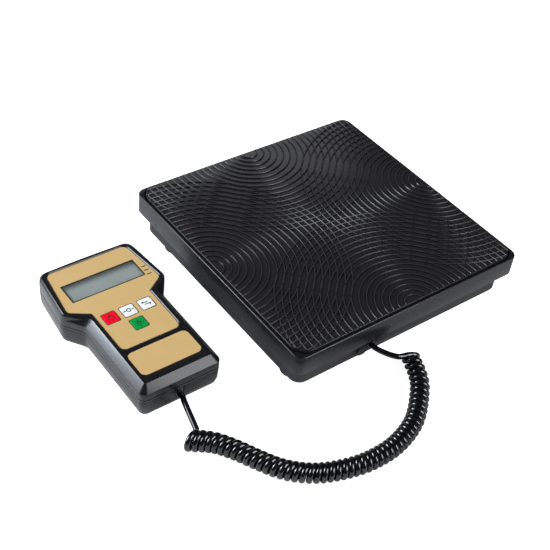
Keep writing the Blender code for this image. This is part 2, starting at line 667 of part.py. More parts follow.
def label_plan(grow):
    """Plan of the main label, grown for its recess."""
    left = [(-LABEL_TOP_WIDTH / 2 - grow, label_top + grow, LABEL_CORNER + grow),
            (-LABEL_WIDTH / 2 - grow, label_shoulder - grow, LABEL_CORNER + grow),
            (-LABEL_NECK_WIDTH / 2 - grow, label_neck - grow, LABEL_NECK_CORNER),
            (-LABEL_GRIP_WIDTH / 2 - grow, label_low - grow, LABEL_CORNER + grow)]
    return rounded(left + [(-x, y, radius) for x, y, radius in left[::-1]])


small_label_middle = label_low - SMALL_LABEL_SPACE - SMALL_LABEL_HEIGHT / 2
window_middle = handset_top - WINDOW_FROM_TOP
key_row = handset_top - KEY_ROW_FROM_TOP
key_places = {
    "key_power": (-KEY_PITCH, key_row),
    "key_zero": (0.0, key_row),
    "key_unit": (KEY_PITCH, key_row),
    "key_lamp": (0.0, key_row - KEY_PITCH),
}


def face_openings(low):
    """Solids of the window and key openings, from a height up through the face."""
    window = box_outline(WINDOW_WIDTH + 2 * SIDE_GAP, WINDOW_HEIGHT + 2 * SIDE_GAP, KEY_CORNER, 0.0,
                         window_middle)
    side = KEY_SIZE + 2 * SIDE_GAP
    keys = [box_outline(side, side, KEY_CORNER + SIDE_GAP, x, y) for x, y in key_places.values()]
    return [prism(outline, low, HANDSET_HEIGHT + CASE_WALL) for outline in [window] + keys]


def small_label_plan(grow):
    """Plan of the small label, grown for its recess."""
    return box_outline(SMALL_LABEL_WIDTH + 2 * grow, SMALL_LABEL_HEIGHT + 2 * grow, LABEL_CORNER + grow, 0.0,
                       small_label_middle)


recess_top = HANDSET_HEIGHT + CASE_WALL
main_recess = [at_height(label_plan(SIDE_GAP), label_seat), at_height(label_plan(SIDE_GAP), label_face),
               at_height(label_plan(SIDE_GAP + LABEL_LIP), HANDSET_HEIGHT),
               at_height(label_plan(SIDE_GAP + LABEL_LIP), recess_top)]
small_recess = prism(small_label_plan(SIDE_GAP), small_label_seat, recess_top)
combine(upper_shell, "DIFFERENCE", [main_recess, small_recess])
shell_bores = [prism(circle(CASE_SCREW_RADIUS + SIDE_GAP, x, y, SCREW_SIDES), board_low, screw_tip + SEAT_GAP)
               for x, y in post_places]
combine(upper_shell, "DIFFERENCE", face_openings(case_roof - CASE_WALL) + shell_bores)

lower_shell = piece("lower_shell", [
    at_height(case_plan(LOWER_EDGE + CASE_WALL / 2, LOWER_EDGE + CASE_WALL / 2, 0.0, GRIP_CORNER), CASE_WALL),
    at_height(wall_plan, LOWER_EDGE_HEIGHT),
    at_height(wall_plan, seam_low),
    at_height(side_plan, seam_low),
    at_height(case_plan(0.1 * LOWER_EDGE, 0.1 * LOWER_EDGE, 0.0, GRIP_CORNER), LOWER_EDGE_HEIGHT),
    at_height(case_plan(0.35 * LOWER_EDGE, 0.35 * LOWER_EDGE, 0.0, GRIP_CORNER), 0.3 * LOWER_EDGE_HEIGHT),
    at_height(case_plan(LOWER_EDGE, LOWER_EDGE, 0.0, GRIP_CORNER), 0.0),
], BLACK_SHELL, HANDSET)
battery_end = HANDSET_END + BATTERY_END_GAP
battery_front = battery_end + BATTERY_LENGTH
cover_half = BATTERY_WIDTH / 2 + BATTERY_COVER_MARGIN
cover_front = battery_front + 2 * BATTERY_COVER_MARGIN
rib_middle = cover_half + SIDE_GAP + BATTERY_COVER_MARGIN
lower_posts = [prism(circle(POST_RADIUS, x, y, SCREW_SIDES), CASE_WALL / 2, board_low - SEAT_GAP)
               for x, y in post_places]
rib_length = BATTERY_LENGTH - 2 * POST_RADIUS
battery_ribs = [prism(box_outline(BATTERY_COVER_MARGIN, rib_length, KEY_EDGE, side * rib_middle,
                                  (battery_end + battery_front) / 2), CASE_WALL / 2,
                      battery_low + BATTERY_HEIGHT / 2) for side in (-1, 1)]
combine(lower_shell, "UNION", lower_posts + battery_ribs)


def notch_plan(grow, top):
    """Plan of the U-shaped cord notch seen from the end of the handset."""
    half = NOTCH_WIDTH / 2 - grow
    low = NOTCH_CENTRE_HEIGHT - half
    return rounded([(-half, low, 0.97 * half), (half, low, 0.97 * half), (half, top, KEY_EDGE),
                    (-half, top, KEY_EDGE)])


def cover_box(grow, low, high):
    """Solid of the opening for the battery cover, open at the end of the handset."""
    back = HANDSET_END - CASE_WALL
    front = cover_front + grow
    middle = (front + back) / 2
    return prism(box_outline(2 * (cover_half + grow), front - back, KEY_EDGE, 0.0, middle), low, high)


notch = facing_front(prism(notch_plan(0.0, SEAM_HEIGHT + CASE_WALL), -2 * CASE_WALL, CASE_WALL), NOTCH_OFFSET,
                     HANDSET_END, 0.0)
well_radius = CASE_SCREW_HEAD + SIDE_GAP
bore_radius = CASE_SCREW_RADIUS + SIDE_GAP
well_side = [(well_radius, -CASE_WALL), (well_radius, CASE_SCREW_SINK), (bore_radius, CASE_SCREW_SINK),
             (bore_radius, board_top)]
screw_wells = [turned(well_side, x, y, SCREW_SIDES) for x, y in post_places]
cover_opening = cover_box(SIDE_GAP, -CASE_WALL, CASE_WALL + SEAT_GAP)
combine(lower_shell, "DIFFERENCE", screw_wells + [notch, cover_opening])

for (x, y), corner in zip(post_places, foot_names):
    well = CASE_SCREW_SINK - SEAT_GAP
    piece("case_screw_" + corner, turned([
        (CASE_SCREW_HEAD, well - CASE_SCREW_HEAD_HEIGHT), (CASE_SCREW_HEAD, well), (CASE_SCREW_RADIUS, well),
        (CASE_SCREW_RADIUS, screw_tip)], sides=SCREW_SIDES), STEEL, HANDSET, (x, y, 0.0))

battery_cover = piece("battery_cover", [
    at_height(case_plan(LOWER_EDGE, LOWER_EDGE, 0.0, GRIP_CORNER), 0.0),
    at_height(case_plan(0.35 * LOWER_EDGE, 0.35 * LOWER_EDGE, 0.0, GRIP_CORNER), 0.3 * LOWER_EDGE_HEIGHT),
    at_height(case_plan(0.3 * LOWER_EDGE, 0.3 * LOWER_EDGE, 0.0, GRIP_CORNER), CASE_WALL),
], BLACK_SHELL, HANDSET)
combine(battery_cover, "INTERSECT", [cover_box(0.0, -CASE_WALL, 2 * CASE_WALL)])

# Labels, window and keys on the face of the handset
label_low_z = label_seat + SEAT_GAP
main_label = piece("main_label", prism(label_plan(0.0), label_low_z, label_face), GOLD_FILM, HANDSET)
combine(main_label, "DIFFERENCE", face_openings(case_roof))
small_label_low = small_label_seat + SEAT_GAP
small_label_high = small_label_low + LABEL_THICKNESS
piece("small_label", prism(small_label_plan(0.0), small_label_low, small_label_high), GOLD_FILM, HANDSET)
window_low = panel_top + SEAT_GAP
window_plan = box_outline(WINDOW_WIDTH, WINDOW_HEIGHT, KEY_CORNER, 0.0, window_middle)
piece("lcd_window", prism(window_plan, window_low, window_low + WINDOW_THICKNESS), GREY_LENS, HANDSET)

key_colours = {"key_power": KEY_RED, "key_zero": KEY_WHITE, "key_unit": KEY_WHITE, "key_lamp": KEY_GREEN}
for name, (x, y) in key_places.items():
    flange = KEY_SIZE + 2 * KEY_FLANGE
    key_top = label_face + KEY_PROUD
    piece(name, [
        at_height(box_outline(flange, flange, KEY_CORNER), key_low),
        at_height(box_outline(flange, flange, KEY_CORNER), key_flange_top),
        at_height(box_outline(KEY_SIZE, KEY_SIZE, KEY_CORNER), key_flange_top),
        at_height(box_outline(KEY_SIZE, KEY_SIZE, KEY_CORNER), key_top - KEY_EDGE),
        at_height(box_outline(KEY_SIZE - 2 * KEY_EDGE, KEY_SIZE - 2 * KEY_EDGE, KEY_CORNER), key_top),
    ], key_colours[name], HANDSET, (x, y, 0.0))
    switch_low = board_top + SEAT_GAP
    button = 2 * SWITCH_BUTTON_RADIUS
    piece(name.replace("key", "switch"), [
        at_height(box_outline(SWITCH_SIZE, SWITCH_SIZE, KEY_EDGE), switch_low),
        at_height(box_outline(SWITCH_SIZE, SWITCH_SIZE, KEY_EDGE), switch_low + SWITCH_BODY),
        at_height(box_outline(button, button, 0.98 * SWITCH_BUTTON_RADIUS), switch_low + SWITCH_BODY),
        at_height(box_outline(button, button, 0.98 * SWITCH_BUTTON_RADIUS), switch_top),
    ], SWITCH_BLACK, HANDSET, (x, y, 0.0))

# Display panel, its frame and the circuit board
panel_width = WINDOW_WIDTH + 2 * PANEL_MARGIN
panel_height = WINDOW_HEIGHT + 2 * PANEL_MARGIN


def panel_plan(grow):
    """Plan of the display panel, grown for its frame."""
    return box_outline(panel_width + 2 * grow, panel_height + 2 * grow, KEY_EDGE, 0.0, window_middle)


piece("lcd_panel", prism(panel_plan(0.0), panel_low, panel_top), LCD_GLASS, HANDSET)
frame_rim = panel_top - SEAT_GAP
frame_grow = SIDE_GAP + PANEL_FRAME_WALL
piece("lcd_frame", [
    at_height(panel_plan(SIDE_GAP), frame_floor_top), at_height(panel_plan(SIDE_GAP), frame_rim),
    at_height(panel_plan(frame_grow), frame_rim), at_height(panel_plan(frame_grow), frame_low),
], WHITE_FRAME, HANDSET)

board_half = HEAD_TOP_WIDTH / 2 - BOARD_SIDE_GAP
board_back = handset_top - BOARD_TOP_GAP
board_front = board_back - BOARD_LENGTH
board_neck = BOARD_NECK_WIDTH / 2
board_left = [(-board_half, board_back, HEAD_CORNER),
              (-board_half, handset_top - SHOULDER_FROM_TOP, LABEL_CORNER),
              (-board_neck, handset_top - LABEL_NECK_FROM_TOP, LABEL_CORNER),
              (-board_neck, board_front, KEY_CORNER)]
board_plan = rounded(board_left + [(-x, y, radius) for x, y, radius in board_left[::-1]])
circuit_board = piece("circuit_board", prism(board_plan, board_low, board_top), GREEN_BOARD, HANDSET)
board_holes = [prism(circle(bore_radius, x, y, SCREW_SIDES), board_low - CASE_WALL, board_top + CASE_WALL)
               for x, y in post_places]
combine(circuit_board, "DIFFERENCE", board_holes)

# Battery, its snap connector and the bush that holds the cord in the notch
battery_middle = battery_low + BATTERY_HEIGHT / 2
battery = piece("battery", prism(box_outline(BATTERY_WIDTH, BATTERY_LENGTH, KEY_CORNER, 0.0,
                                             (battery_end + battery_front) / 2), battery_low,
                                 battery_low + BATTERY_HEIGHT), BATTERY_CASE, HANDSET)
combine(battery, "UNION", [facing_back(prism(circle(TERMINAL_RADIUS, sides=SCREW_SIDES), -TERMINAL_HEIGHT,
                                             TERMINAL_HEIGHT), side * TERMINAL_SPACING / 2, battery_front,
                                       battery_middle) for side in (-1, 1)])
snap_back = battery_front + TERMINAL_HEIGHT + SEAT_GAP
snap_plan = box_outline(BATTERY_WIDTH - 2 * KEY_CORNER, 3 * TERMINAL_RADIUS, KEY_CORNER)
piece("battery_snap", facing_back(prism(snap_plan, 0.0, SNAP_THICKNESS), 0.0, snap_back, battery_middle),
      SWITCH_BLACK, HANDSET)
bush_face = HANDSET_END + BUSH_SINK
bush_plan = notch_plan(SIDE_GAP, seam_low - SEAT_GAP)
bush_body = facing_front(prism(bush_plan, -BUSH_LENGTH, 0.0), NOTCH_OFFSET, bush_face, 0.0)
piece("cord_bush", bush_body, CORD_JACKET, HANDSET)


# Cord: the lead at the platform, the curls and the lead at the handset
def length_of(points):
    """Length of a line through points."""
    return sum((Vector(after) - Vector(here)).length for here, after in zip(points, points[1:]))


def smooth_path(points, count, spacing=(1.0, 1.0)):
    """Sample a smooth curve through the points in a count of steps, even or with a spacing that drifts."""
    points = [Vector(point) for point in points]
    ends = [2 * points[0] - points[1]] + points + [2 * points[-1] - points[-2]]
    dense = []
    for before, here, after, beyond in zip(ends, ends[1:], ends[2:], ends[3:]):
        for step in range(40):
            t = step / 40
            second = 2 * before - 5 * here + 4 * after - beyond
            third = 3 * here - before - 3 * after + beyond
            dense.append(0.5 * (2 * here + (after - before) * t + second * t ** 2 + third * t ** 3))
    dense.append(points[-1])
    lengths = [0.0]
    for here, after in zip(dense, dense[1:]):
        lengths.append(lengths[-1] + (after - here).length)
    stretches = []
    for step in range(count):
        place = (step + 0.5) / count * (len(spacing) - 1)
        near = int(place)
        stretches.append(spacing[near] + (spacing[near + 1] - spacing[near]) * (place - near))
    sampled = []
    index = 0
    for step in range(count + 1):
        wanted = lengths[-1] * sum(stretches[:step]) / sum(stretches)
        while index < len(dense) - 2 and lengths[index + 1] < wanted:
            index += 1
        share = (wanted - lengths[index]) / (lengths[index + 1] - lengths[index])
        sampled.append(dense[index].lerp(dense[index + 1], share))
    return sampled


def tube(name, points, radius, sides_step, material, parent=None):
    """Add a round tube along points, closed at both ends."""
    curve = bpy.data.curves.new(name, "CURVE")
    curve.dimensions = "3D"
    curve.bevel_depth = radius
    curve.bevel_resolution = sides_step
    curve.use_fill_caps = True
    spline = curve.splines.new("POLY")
    spline.points.add(len(points) - 1)
    for slot, point in zip(spline.points, points):
        slot.co = (*point, 1.0)
    curve.materials.append(material)
    made = bpy.data.objects.new(name, curve)
    bpy.context.collection.objects.link(made)
    made.parent = parent
    return made


cord_radius = CORD_DIAMETER / 2
axis_height = CURL_RADIUS + cord_radius + CORD_FLOOR_GAP
axis = smooth_path([(x, y, axis_height) for x, y in CURL_AXIS], round(CURL_COUNT * CURL_POINTS), CURL_SPACING)
sides = []
curls = []
for index, middle in enumerate(axis):
    ahead = axis[min(index + 1, len(axis) - 1)]
    behind = axis[max(index - 1, 0)]
    along = (ahead - behind).normalized()
    side = Vector((-along.y, along.x, 0.0))
    sides.append(side)
    angle = 2 * math.pi * index / CURL_POINTS
    curls.append(middle - CURL_RADIUS * (math.cos(angle) * Vector((0.0, 0.0, 1.0)) + math.sin(angle) * side))

curls = [curls[0] + sides[0] * CORD_DIAMETER] + curls + [curls[-1] + sides[-1] * CORD_DIAMETER]
tube("cord_curls", curls, cord_radius, 1, CORD_JACKET)
least_gap = min((curls[i] - curls[j]).length for i in range(len(curls))
                for j in range(i + CURL_POINTS // 2, min(i + 2 * CURL_POINTS, len(curls)))) - CORD_DIAMETER
print(f"least gap between curls {least_gap * 1000:.2f} mm")


def lead_points(start, heading, route, end, run):
    """Points of a lead from a housing to the curls, straight for one diameter at each end."""
    start = Vector(start)
    close = end + run * SEAT_GAP
    path = [start, start + Vector(heading) * CORD_DIAMETER] + [Vector(point) for point in route]
    path += [close + run * CORD_DIAMETER, close]
    middle = smooth_path(path[1:-1], round(length_of(path) / (2.2 * CORD_DIAMETER)))
    return [path[0]] + middle + [path[-1]]


handset_end = (HANDSET.location.x + NOTCH_OFFSET, bush_face - SEAT_GAP, NOTCH_CENTRE_HEIGHT)
handset_lead = lead_points(handset_end, (0.0, -1.0, 0.0), HANDSET_LEAD, curls[0], sides[0])
tube("cord_lead_handset", handset_lead, cord_radius, 2, CORD_JACKET)
grommet_face = -base_half - 2 * SEAT_GAP - GROMMET_FLANGE
platform_end = (PLATFORM.location.x + GROMMET_OFFSET, grommet_face, grommet_z)
platform_lead = lead_points(platform_end, (0.0, -1.0, 0.0), PLATFORM_LEAD, curls[-1], sides[-1])
tube("cord_lead_platform", platform_lead, cord_radius, 2, CORD_JACKET)
cord_length = length_of(handset_lead) + length_of(curls) + length_of(platform_lead)
print(f"cord length {cord_length:.3f} m")

# Lead from the load cell to the grommet, inside the base
cell_side = -CELL_WIDTH / 2 - SEAT_GAP
grommet_back = -base_half + wall_behind + GROMMET_FLANGE + SEAT_GAP
lead_floor = base_floor_top + CELL_LEAD_RADIUS + SEAT_GAP
lead_x = -(STOP_PLACE - STOP_BOSS_RADIUS - CELL_LEAD_CLEARANCE)
lead_drop = 4 * CELL_LEAD_RADIUS
cell_path = [(lead_x, cell_side - CELL_LEAD_RADIUS, cell_middle),
             (lead_x, cell_side - lead_drop, cell_middle),
             (lead_x, cell_side - 3 * lead_drop, lead_floor + CELL_LEAD_RADIUS),
             (lead_x + lead_drop / 2, 0.6 * grommet_back, lead_floor),
             (GROMMET_OFFSET, grommet_back + 3 * lead_drop, lead_floor + CELL_LEAD_RADIUS / 2),
             (GROMMET_OFFSET, grommet_back + CELL_LEAD_RADIUS, grommet_z)]
cell_lead = smooth_path(cell_path, round(length_of(cell_path) / (5 * CELL_LEAD_RADIUS)))
lead_start = Vector((lead_x, cell_side, cell_middle))
lead_end = Vector((GROMMET_OFFSET, grommet_back, grommet_z))
cell_lead = [lead_start] + cell_lead + [lead_end]
tube("load_cell_lead", cell_lead, CELL_LEAD_RADIUS, 1, CORD_JACKET, PLATFORM)
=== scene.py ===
"""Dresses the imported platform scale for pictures: studio, cord, platform and handset."""
import math

import bpy
from mathutils import Matrix, Vector


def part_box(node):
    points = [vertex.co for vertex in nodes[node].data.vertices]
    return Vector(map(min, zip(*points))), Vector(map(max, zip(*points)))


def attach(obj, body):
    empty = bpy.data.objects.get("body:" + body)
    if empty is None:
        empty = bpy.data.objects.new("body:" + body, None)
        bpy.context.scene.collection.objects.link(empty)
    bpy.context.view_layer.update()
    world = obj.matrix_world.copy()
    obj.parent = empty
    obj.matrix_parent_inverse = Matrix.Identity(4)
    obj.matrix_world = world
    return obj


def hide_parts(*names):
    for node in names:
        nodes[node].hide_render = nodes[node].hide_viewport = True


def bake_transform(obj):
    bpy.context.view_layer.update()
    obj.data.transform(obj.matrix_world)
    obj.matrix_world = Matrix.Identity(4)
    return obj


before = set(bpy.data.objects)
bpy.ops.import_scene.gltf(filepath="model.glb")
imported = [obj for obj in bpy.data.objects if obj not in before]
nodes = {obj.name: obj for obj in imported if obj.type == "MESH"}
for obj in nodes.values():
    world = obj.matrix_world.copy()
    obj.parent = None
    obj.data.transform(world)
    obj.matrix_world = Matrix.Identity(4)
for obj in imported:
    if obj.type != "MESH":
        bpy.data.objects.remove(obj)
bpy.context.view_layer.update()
bpy.ops.object.select_all(action="DESELECT")

# Studio: one seamless sheet of pale paper, seen from above the near corner between handset and platform.
# Soft lamps hang at the back left, a large and a small one, at the front right and, weak, at the back right.
# The paper glows for the camera, and round the handset it also throws some light up at the walls.
SKYWARD = Vector((0.0, 0.0, 1.0))
CAMERA_OFFSET = (-0.48070, -0.49604, 0.59578)
CAMERA_YAW = math.radians(41.075)
CAMERA_PITCH = math.radians(41.870)
CAMERA_ROLL = math.radians(7.055)
SENSOR_WIDTH = 36.0
FOCAL_PIXELS = 1054.5
FRAME_PIXELS = 550
cover_low, cover_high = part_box("top_cover")
platform_x = (cover_low[0] + cover_high[0]) / 2
level_forward = Vector((math.sin(CAMERA_YAW), math.cos(CAMERA_YAW), 0.0))
forward = math.cos(CAMERA_PITCH) * level_forward - math.sin(CAMERA_PITCH) * SKYWARD
level_right = Vector((math.cos(CAMERA_YAW), -math.sin(CAMERA_YAW), 0.0))
level_up = level_right.cross(forward)
right = math.cos(CAMERA_ROLL) * level_right + math.sin(CAMERA_ROLL) * level_up
up = math.cos(CAMERA_ROLL) * level_up - math.sin(CAMERA_ROLL) * level_right
lens = bpy.data.cameras.new("studio_camera")
lens.sensor_fit = "HORIZONTAL"
lens.sensor_width = SENSOR_WIDTH
lens.lens = SENSOR_WIDTH * FOCAL_PIXELS / FRAME_PIXELS
camera = bpy.data.objects.new("studio_camera", lens)
bpy.context.scene.collection.objects.link(camera)
camera_place = Vector(CAMERA_OFFSET) + Vector((platform_x, 0.0, 0.0))
camera_turn = Matrix((right, up, -forward)).transposed().to_4x4()
camera.matrix_world = Matrix.Translation(camera_place) @ camera_turn
bpy.context.scene.camera = camera
bpy.context.scene.view_settings.view_transform = "Standard"


def new_material(name):
    """Start a node material and return it with its node tree and its shader."""
    material = bpy.data.materials.new(name)
    material.use_nodes = True
    return material, material.node_tree, material.node_tree.nodes["Principled BSDF"]


def texture_place(tree, size=(1.0, 1.0, 1.0)):
    """Read the place on the piece, stretched by a size for each direction."""
    coordinates = tree.nodes.new("ShaderNodeTexCoord")
    mapping = tree.nodes.new("ShaderNodeMapping")
    mapping.inputs["Scale"].default_value = size
    tree.links.new(coordinates.outputs["Object"], mapping.inputs["Vector"])
    return mapping.outputs["Vector"]


def place_along(tree, direction):
    """Read how far along X, Y or Z a place on the piece lies."""
    split = tree.nodes.new("ShaderNodeSeparateXYZ")
    tree.links.new(texture_place(tree), split.inputs["Vector"])
    return split.outputs[direction]


def ramp(tree, value, start, stop, low, high, shape="LINEAR"):
    """Turn a value between a start and a stop into one between low and high."""
    change = tree.nodes.new("ShaderNodeMapRange")
    change.interpolation_type = shape
    change.inputs["From Min"].default_value = start
    change.inputs["From Max"].default_value = stop
    change.inputs["To Min"].default_value = low
    change.inputs["To Max"].default_value = high
    tree.links.new(value, change.inputs["Value"])
    return change.outputs["Result"]


FLOOR_SIZE = 8.0
FLOOR_DROP = 0.0002
PAPER_WHITE = (0.92, 0.92, 0.92, 1.0)
PAPER_ROUGHNESS = 0.9
PAPER_SHINE = 0.1
CAMERA_GLOW = 0.93
SIDE_GLOW = 0.45
SIDE_GLOW_FULL = -0.17
SIDE_GLOW_END = -0.05
FRONT_FADE_END = -0.09
FRONT_FADE_START = -0.05
bpy.ops.mesh.primitive_plane_add(size=FLOOR_SIZE, location=(0.0, 0.0, -FLOOR_DROP))
bpy.ops.object.transform_apply(location=True)
floor = bpy.context.object
floor.name = "studio_floor"
floor_paper, tree, shader = new_material("pale studio paper")
shader.inputs["Base Color"].default_value = PAPER_WHITE
shader.inputs["Roughness"].default_value = PAPER_ROUGHNESS
shader.inputs["Specular IOR Level"].default_value = PAPER_SHINE
shader.inputs["Emission Color"].default_value = (1.0, 1.0, 1.0, 1.0)
side_glow = ramp(tree, place_along(tree, "X"), SIDE_GLOW_FULL, SIDE_GLOW_END, SIDE_GLOW, 0.0)
front_fade = ramp(tree, place_along(tree, "Y"), FRONT_FADE_END, FRONT_FADE_START, 0.0, 1.0)
faded_glow = tree.nodes.new("ShaderNodeMath")
faded_glow.operation = "MULTIPLY"
rays = tree.nodes.new("ShaderNodeLightPath")
paper_glow = tree.nodes.new("ShaderNodeMix")
paper_glow.inputs["B"].default_value = CAMERA_GLOW
tree.links.new(side_glow, faded_glow.inputs[0])
tree.links.new(front_fade, faded_glow.inputs[1])
tree.links.new(faded_glow.outputs["Value"], paper_glow.inputs["A"])
tree.links.new(rays.outputs["Is Camera Ray"], paper_glow.inputs["Factor"])
tree.links.new(paper_glow.outputs["Result"], shader.inputs["Emission Strength"])
floor.data.materials.append(floor_paper)

AIR_LIGHT = 0.05
AIR_SEEN = 1.0
world = bpy.data.worlds.new("studio_air")
bpy.context.scene.world = world
world.use_nodes = True
tree = world.node_tree
air = tree.nodes["Background"]
air.inputs["Color"].default_value = (1.0, 1.0, 1.0, 1.0)
rays = tree.nodes.new("ShaderNodeLightPath")
air_strength = ramp(tree, rays.outputs["Is Camera Ray"], 0.0, 1.0, AIR_LIGHT, AIR_SEEN)
tree.links.new(air_strength, air.inputs["Strength"])


def soft_lamp(name, toward, distance, width, height, power, tint):
    """Hang an upright soft lamp in a direction from the object, facing it."""
    lamp = bpy.data.lights.new(name, "AREA")
    lamp.color = tint
    lamp.shape = "RECTANGLE"
    lamp.size = width
    lamp.size_y = height
    lamp.energy = power
    held = bpy.data.objects.new(name, lamp)
    bpy.context.scene.collection.objects.link(held)
    held.location = distance * Vector(toward).normalized()
    held.rotation_euler = Vector(toward).to_track_quat("Z", "Y").to_euler()


BACK_LEFT = (-0.70, 0.53, 0.48)
FRONT_RIGHT = (0.36, -0.73, 0.57)
BACK_RIGHT = (0.45, 0.82, 0.36)
soft_lamp("left_lamp", BACK_LEFT, distance=1.5, width=0.9, height=1.0, power=21.0, tint=(0.83, 0.90, 1.0))
soft_lamp("left_spot", BACK_LEFT, distance=1.4, width=0.35, height=0.4, power=8.0, tint=(0.85, 0.93, 1.0))
soft_lamp("right_lamp", FRONT_RIGHT, distance=1.5, width=0.8, height=1.0, power=19.5, tint=(0.94, 0.96, 1.0))
soft_lamp("back_lamp", BACK_RIGHT, distance=1.5, width=0.8, height=0.5, power=1.1, tint=(0.95, 0.98, 1.0))

# Cord: a glossy black jacket wound into one left-handed row of curls that lies on the floor. A short lead
# joins it to the bush at the end of the handset and another to the grommet under the edge of the platform.
# The lists of spacing, lean, swing and swell run along the curls from the handset to the platform.
CORD_DIAMETER = 0.0046
CORD_FLOOR_GAP = 0.00005
CORD_EXIT_HEIGHT = 0.0096
HOUSING_GAP = 0.0003
CURL_RADIUS = 0.0055
CURL_COUNT = 50.5
CURL_POINTS = 18
CURL_SPACING = [4.8, 5.0, 5.0, 4.8, 4.7, 4.6, 4.6, 4.7, 5.4, 6.2, 6.5]
CURL_LEAN = [8.0, 8.0, 6.0, 5.0, 5.0, 6.0, 8.0, 12.0, 16.0, 24.0, 36.0]
CURL_SWING = [26.0, 24.0, 22.0, 20.0, 18.0, 15.0, 9.0, 3.0, 0.0, 0.0, 0.0]
CURL_SWELL = [0.0007, 0.0001] + 9 * [0.0]
CURL_AXIS = [
    (-0.1470, -0.1112), (-0.1332, -0.1219), (-0.1239, -0.1350), (-0.1162, -0.1494), (-0.1058, -0.1662),
    (-0.0902, -0.1802), (-0.0705, -0.1890), (-0.0479, -0.1936), (-0.0224, -0.1923), (0.0038, -0.1824),
    (0.0270, -0.1628), (0.0372, -0.1492), (0.0456, -0.1308),
]
HANDSET_LEAD = [
    (-0.1308, -0.0785, 0.0092), (-0.1324, -0.0858, 0.0079), (-0.1336, -0.0924, 0.0065),
    (-0.1348, -0.0990, 0.0050), (-0.1358, -0.1032, 0.0038), (-0.1388, -0.1066, 0.0026),
]
PLATFORM_LEAD = [
    (0.0231, -0.1192, 0.0142), (0.0256, -0.1232, 0.0136), (0.0293, -0.1277, 0.0129),
    (0.0338, -0.1310, 0.0122),
]
HANDSET_LEAD_STEPS = 34
PLATFORM_LEAD_STEPS = 26
HANDSET_JOIN = CORD_DIAMETER
PLATFORM_JOIN = 0.8 * CORD_DIAMETER
STEPS_BETWEEN_POINTS = 40
JACKET_ROUNDNESS = 5
JACKET_WELD = 0.00001
JACKET_SMOOTH_ANGLE = 60.0


def drift(values, share):
    """Read a list of values that drifts evenly from its start to its end."""
    place = share * (len(values) - 1)
    near = min(int(place), len(values) - 2)
    return values[near] + (values[near + 1] - values[near]) * (place - near)


def smooth_path(points, count, spacing=(1.0, 1.0)):
    """Sample a smooth curve through the points in a count of steps, even or with a spacing that drifts."""
    points = [Vector(point) for point in points]
    ends = [2 * points[0] - points[1]] + points + [2 * points[-1] - points[-2]]
    dense = []
    for before, here, after, beyond in zip(ends, ends[1:], ends[2:], ends[3:]):
        for step in range(STEPS_BETWEEN_POINTS):
            t = step / STEPS_BETWEEN_POINTS
            second = 2 * before - 5 * here + 4 * after - beyond
            third = 3 * here - before - 3 * after + beyond
            dense.append(0.5 * (2 * here + (after - before) * t + second * t ** 2 + third * t ** 3))
    dense.append(points[-1])
    lengths = [0.0]
    for here, after in zip(dense, dense[1:]):
        lengths.append(lengths[-1] + (after - here).length)
    stretches = [drift(spacing, (step + 0.5) / count) for step in range(count)]
    sampled = []
    index = 0
    for step in range(count + 1):
        wanted = lengths[-1] * sum(stretches[:step]) / sum(stretches)
        while index < len(dense) - 2 and lengths[index + 1] < wanted:
            index += 1
        share = (wanted - lengths[index]) / (lengths[index + 1] - lengths[index])
        sampled.append(dense[index].lerp(dense[index + 1], share))
    return sampled


axis_points = [(x, y, 0.0) for x, y in CURL_AXIS]
axis = smooth_path(axis_points, round(CURL_COUNT * CURL_POINTS), CURL_SPACING)
curls = []
curl_sides = []
for index, middle in enumerate(axis):
    along = (axis[min(index + 1, len(axis) - 1)] - axis[max(index - 1, 0)]).normalized()
    side = Vector((-along.y, along.x, 0.0)).normalized()
    share = index / (len(axis) - 1)
    angle = 2 * math.pi * index / CURL_POINTS
    lean = math.radians(drift(CURL_LEAN, share))
    swing = math.radians(drift(CURL_SWING, share))
    radius = CURL_RADIUS + drift(CURL_SWELL, share)
    facing = math.cos(swing) * along - math.sin(swing) * side
    across = math.cos(swing) * side + math.sin(swing) * along
    top = math.cos(lean) * SKYWARD - math.sin(lean) * facing
    height = radius * math.cos(lean) + CORD_DIAMETER / 2 + CORD_FLOOR_GAP
    raised = middle + Vector((0.0, 0.0, height))
    curls.append(raised - radius * (math.cos(angle) * top + math.sin(angle) * across))
    curl_sides.append(across)
bush_low, bush_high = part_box("cord_bush")
grommet_low, grommet_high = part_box("cord_grommet")
bush_mouth = Vector(((bush_low[0] + bush_high[0]) / 2, bush_low[1] - HOUSING_GAP, CORD_EXIT_HEIGHT))
grommet_mouth = Vector(((grommet_low[0] + grommet_high[0]) / 2, grommet_low[1] - HOUSING_GAP,
                        (grommet_low[2] + grommet_high[2]) / 2))
straight = Vector((0.0, -CORD_DIAMETER, 0.0))
handset_join = curls[0] + HANDSET_JOIN * curl_sides[0]
platform_join = curls[-1] + PLATFORM_JOIN * curl_sides[-1]
handset_points = [bush_mouth + straight] + HANDSET_LEAD + [handset_join]
platform_points = [platform_join] + PLATFORM_LEAD[::-1] + [grommet_mouth + straight]
handset_run = smooth_path(handset_points, HANDSET_LEAD_STEPS)
platform_run = smooth_path(platform_points, PLATFORM_LEAD_STEPS)
cord_route = [bush_mouth] + handset_run + curls + platform_run + [grommet_mouth]

cord_curve = bpy.data.curves.new("cord", "CURVE")
cord_curve.dimensions = "3D"
cord_curve.bevel_depth = CORD_DIAMETER / 2
cord_curve.bevel_resolution = JACKET_ROUNDNESS
cord_curve.use_fill_caps = True
spline = cord_curve.splines.new("POLY")
spline.points.add(len(cord_route) - 1)
for slot, point in zip(spline.points, cord_route):
    slot.co = (*point, 1.0)
cord = bpy.data.objects.new("cord", cord_curve)
bpy.context.scene.collection.objects.link(cord)


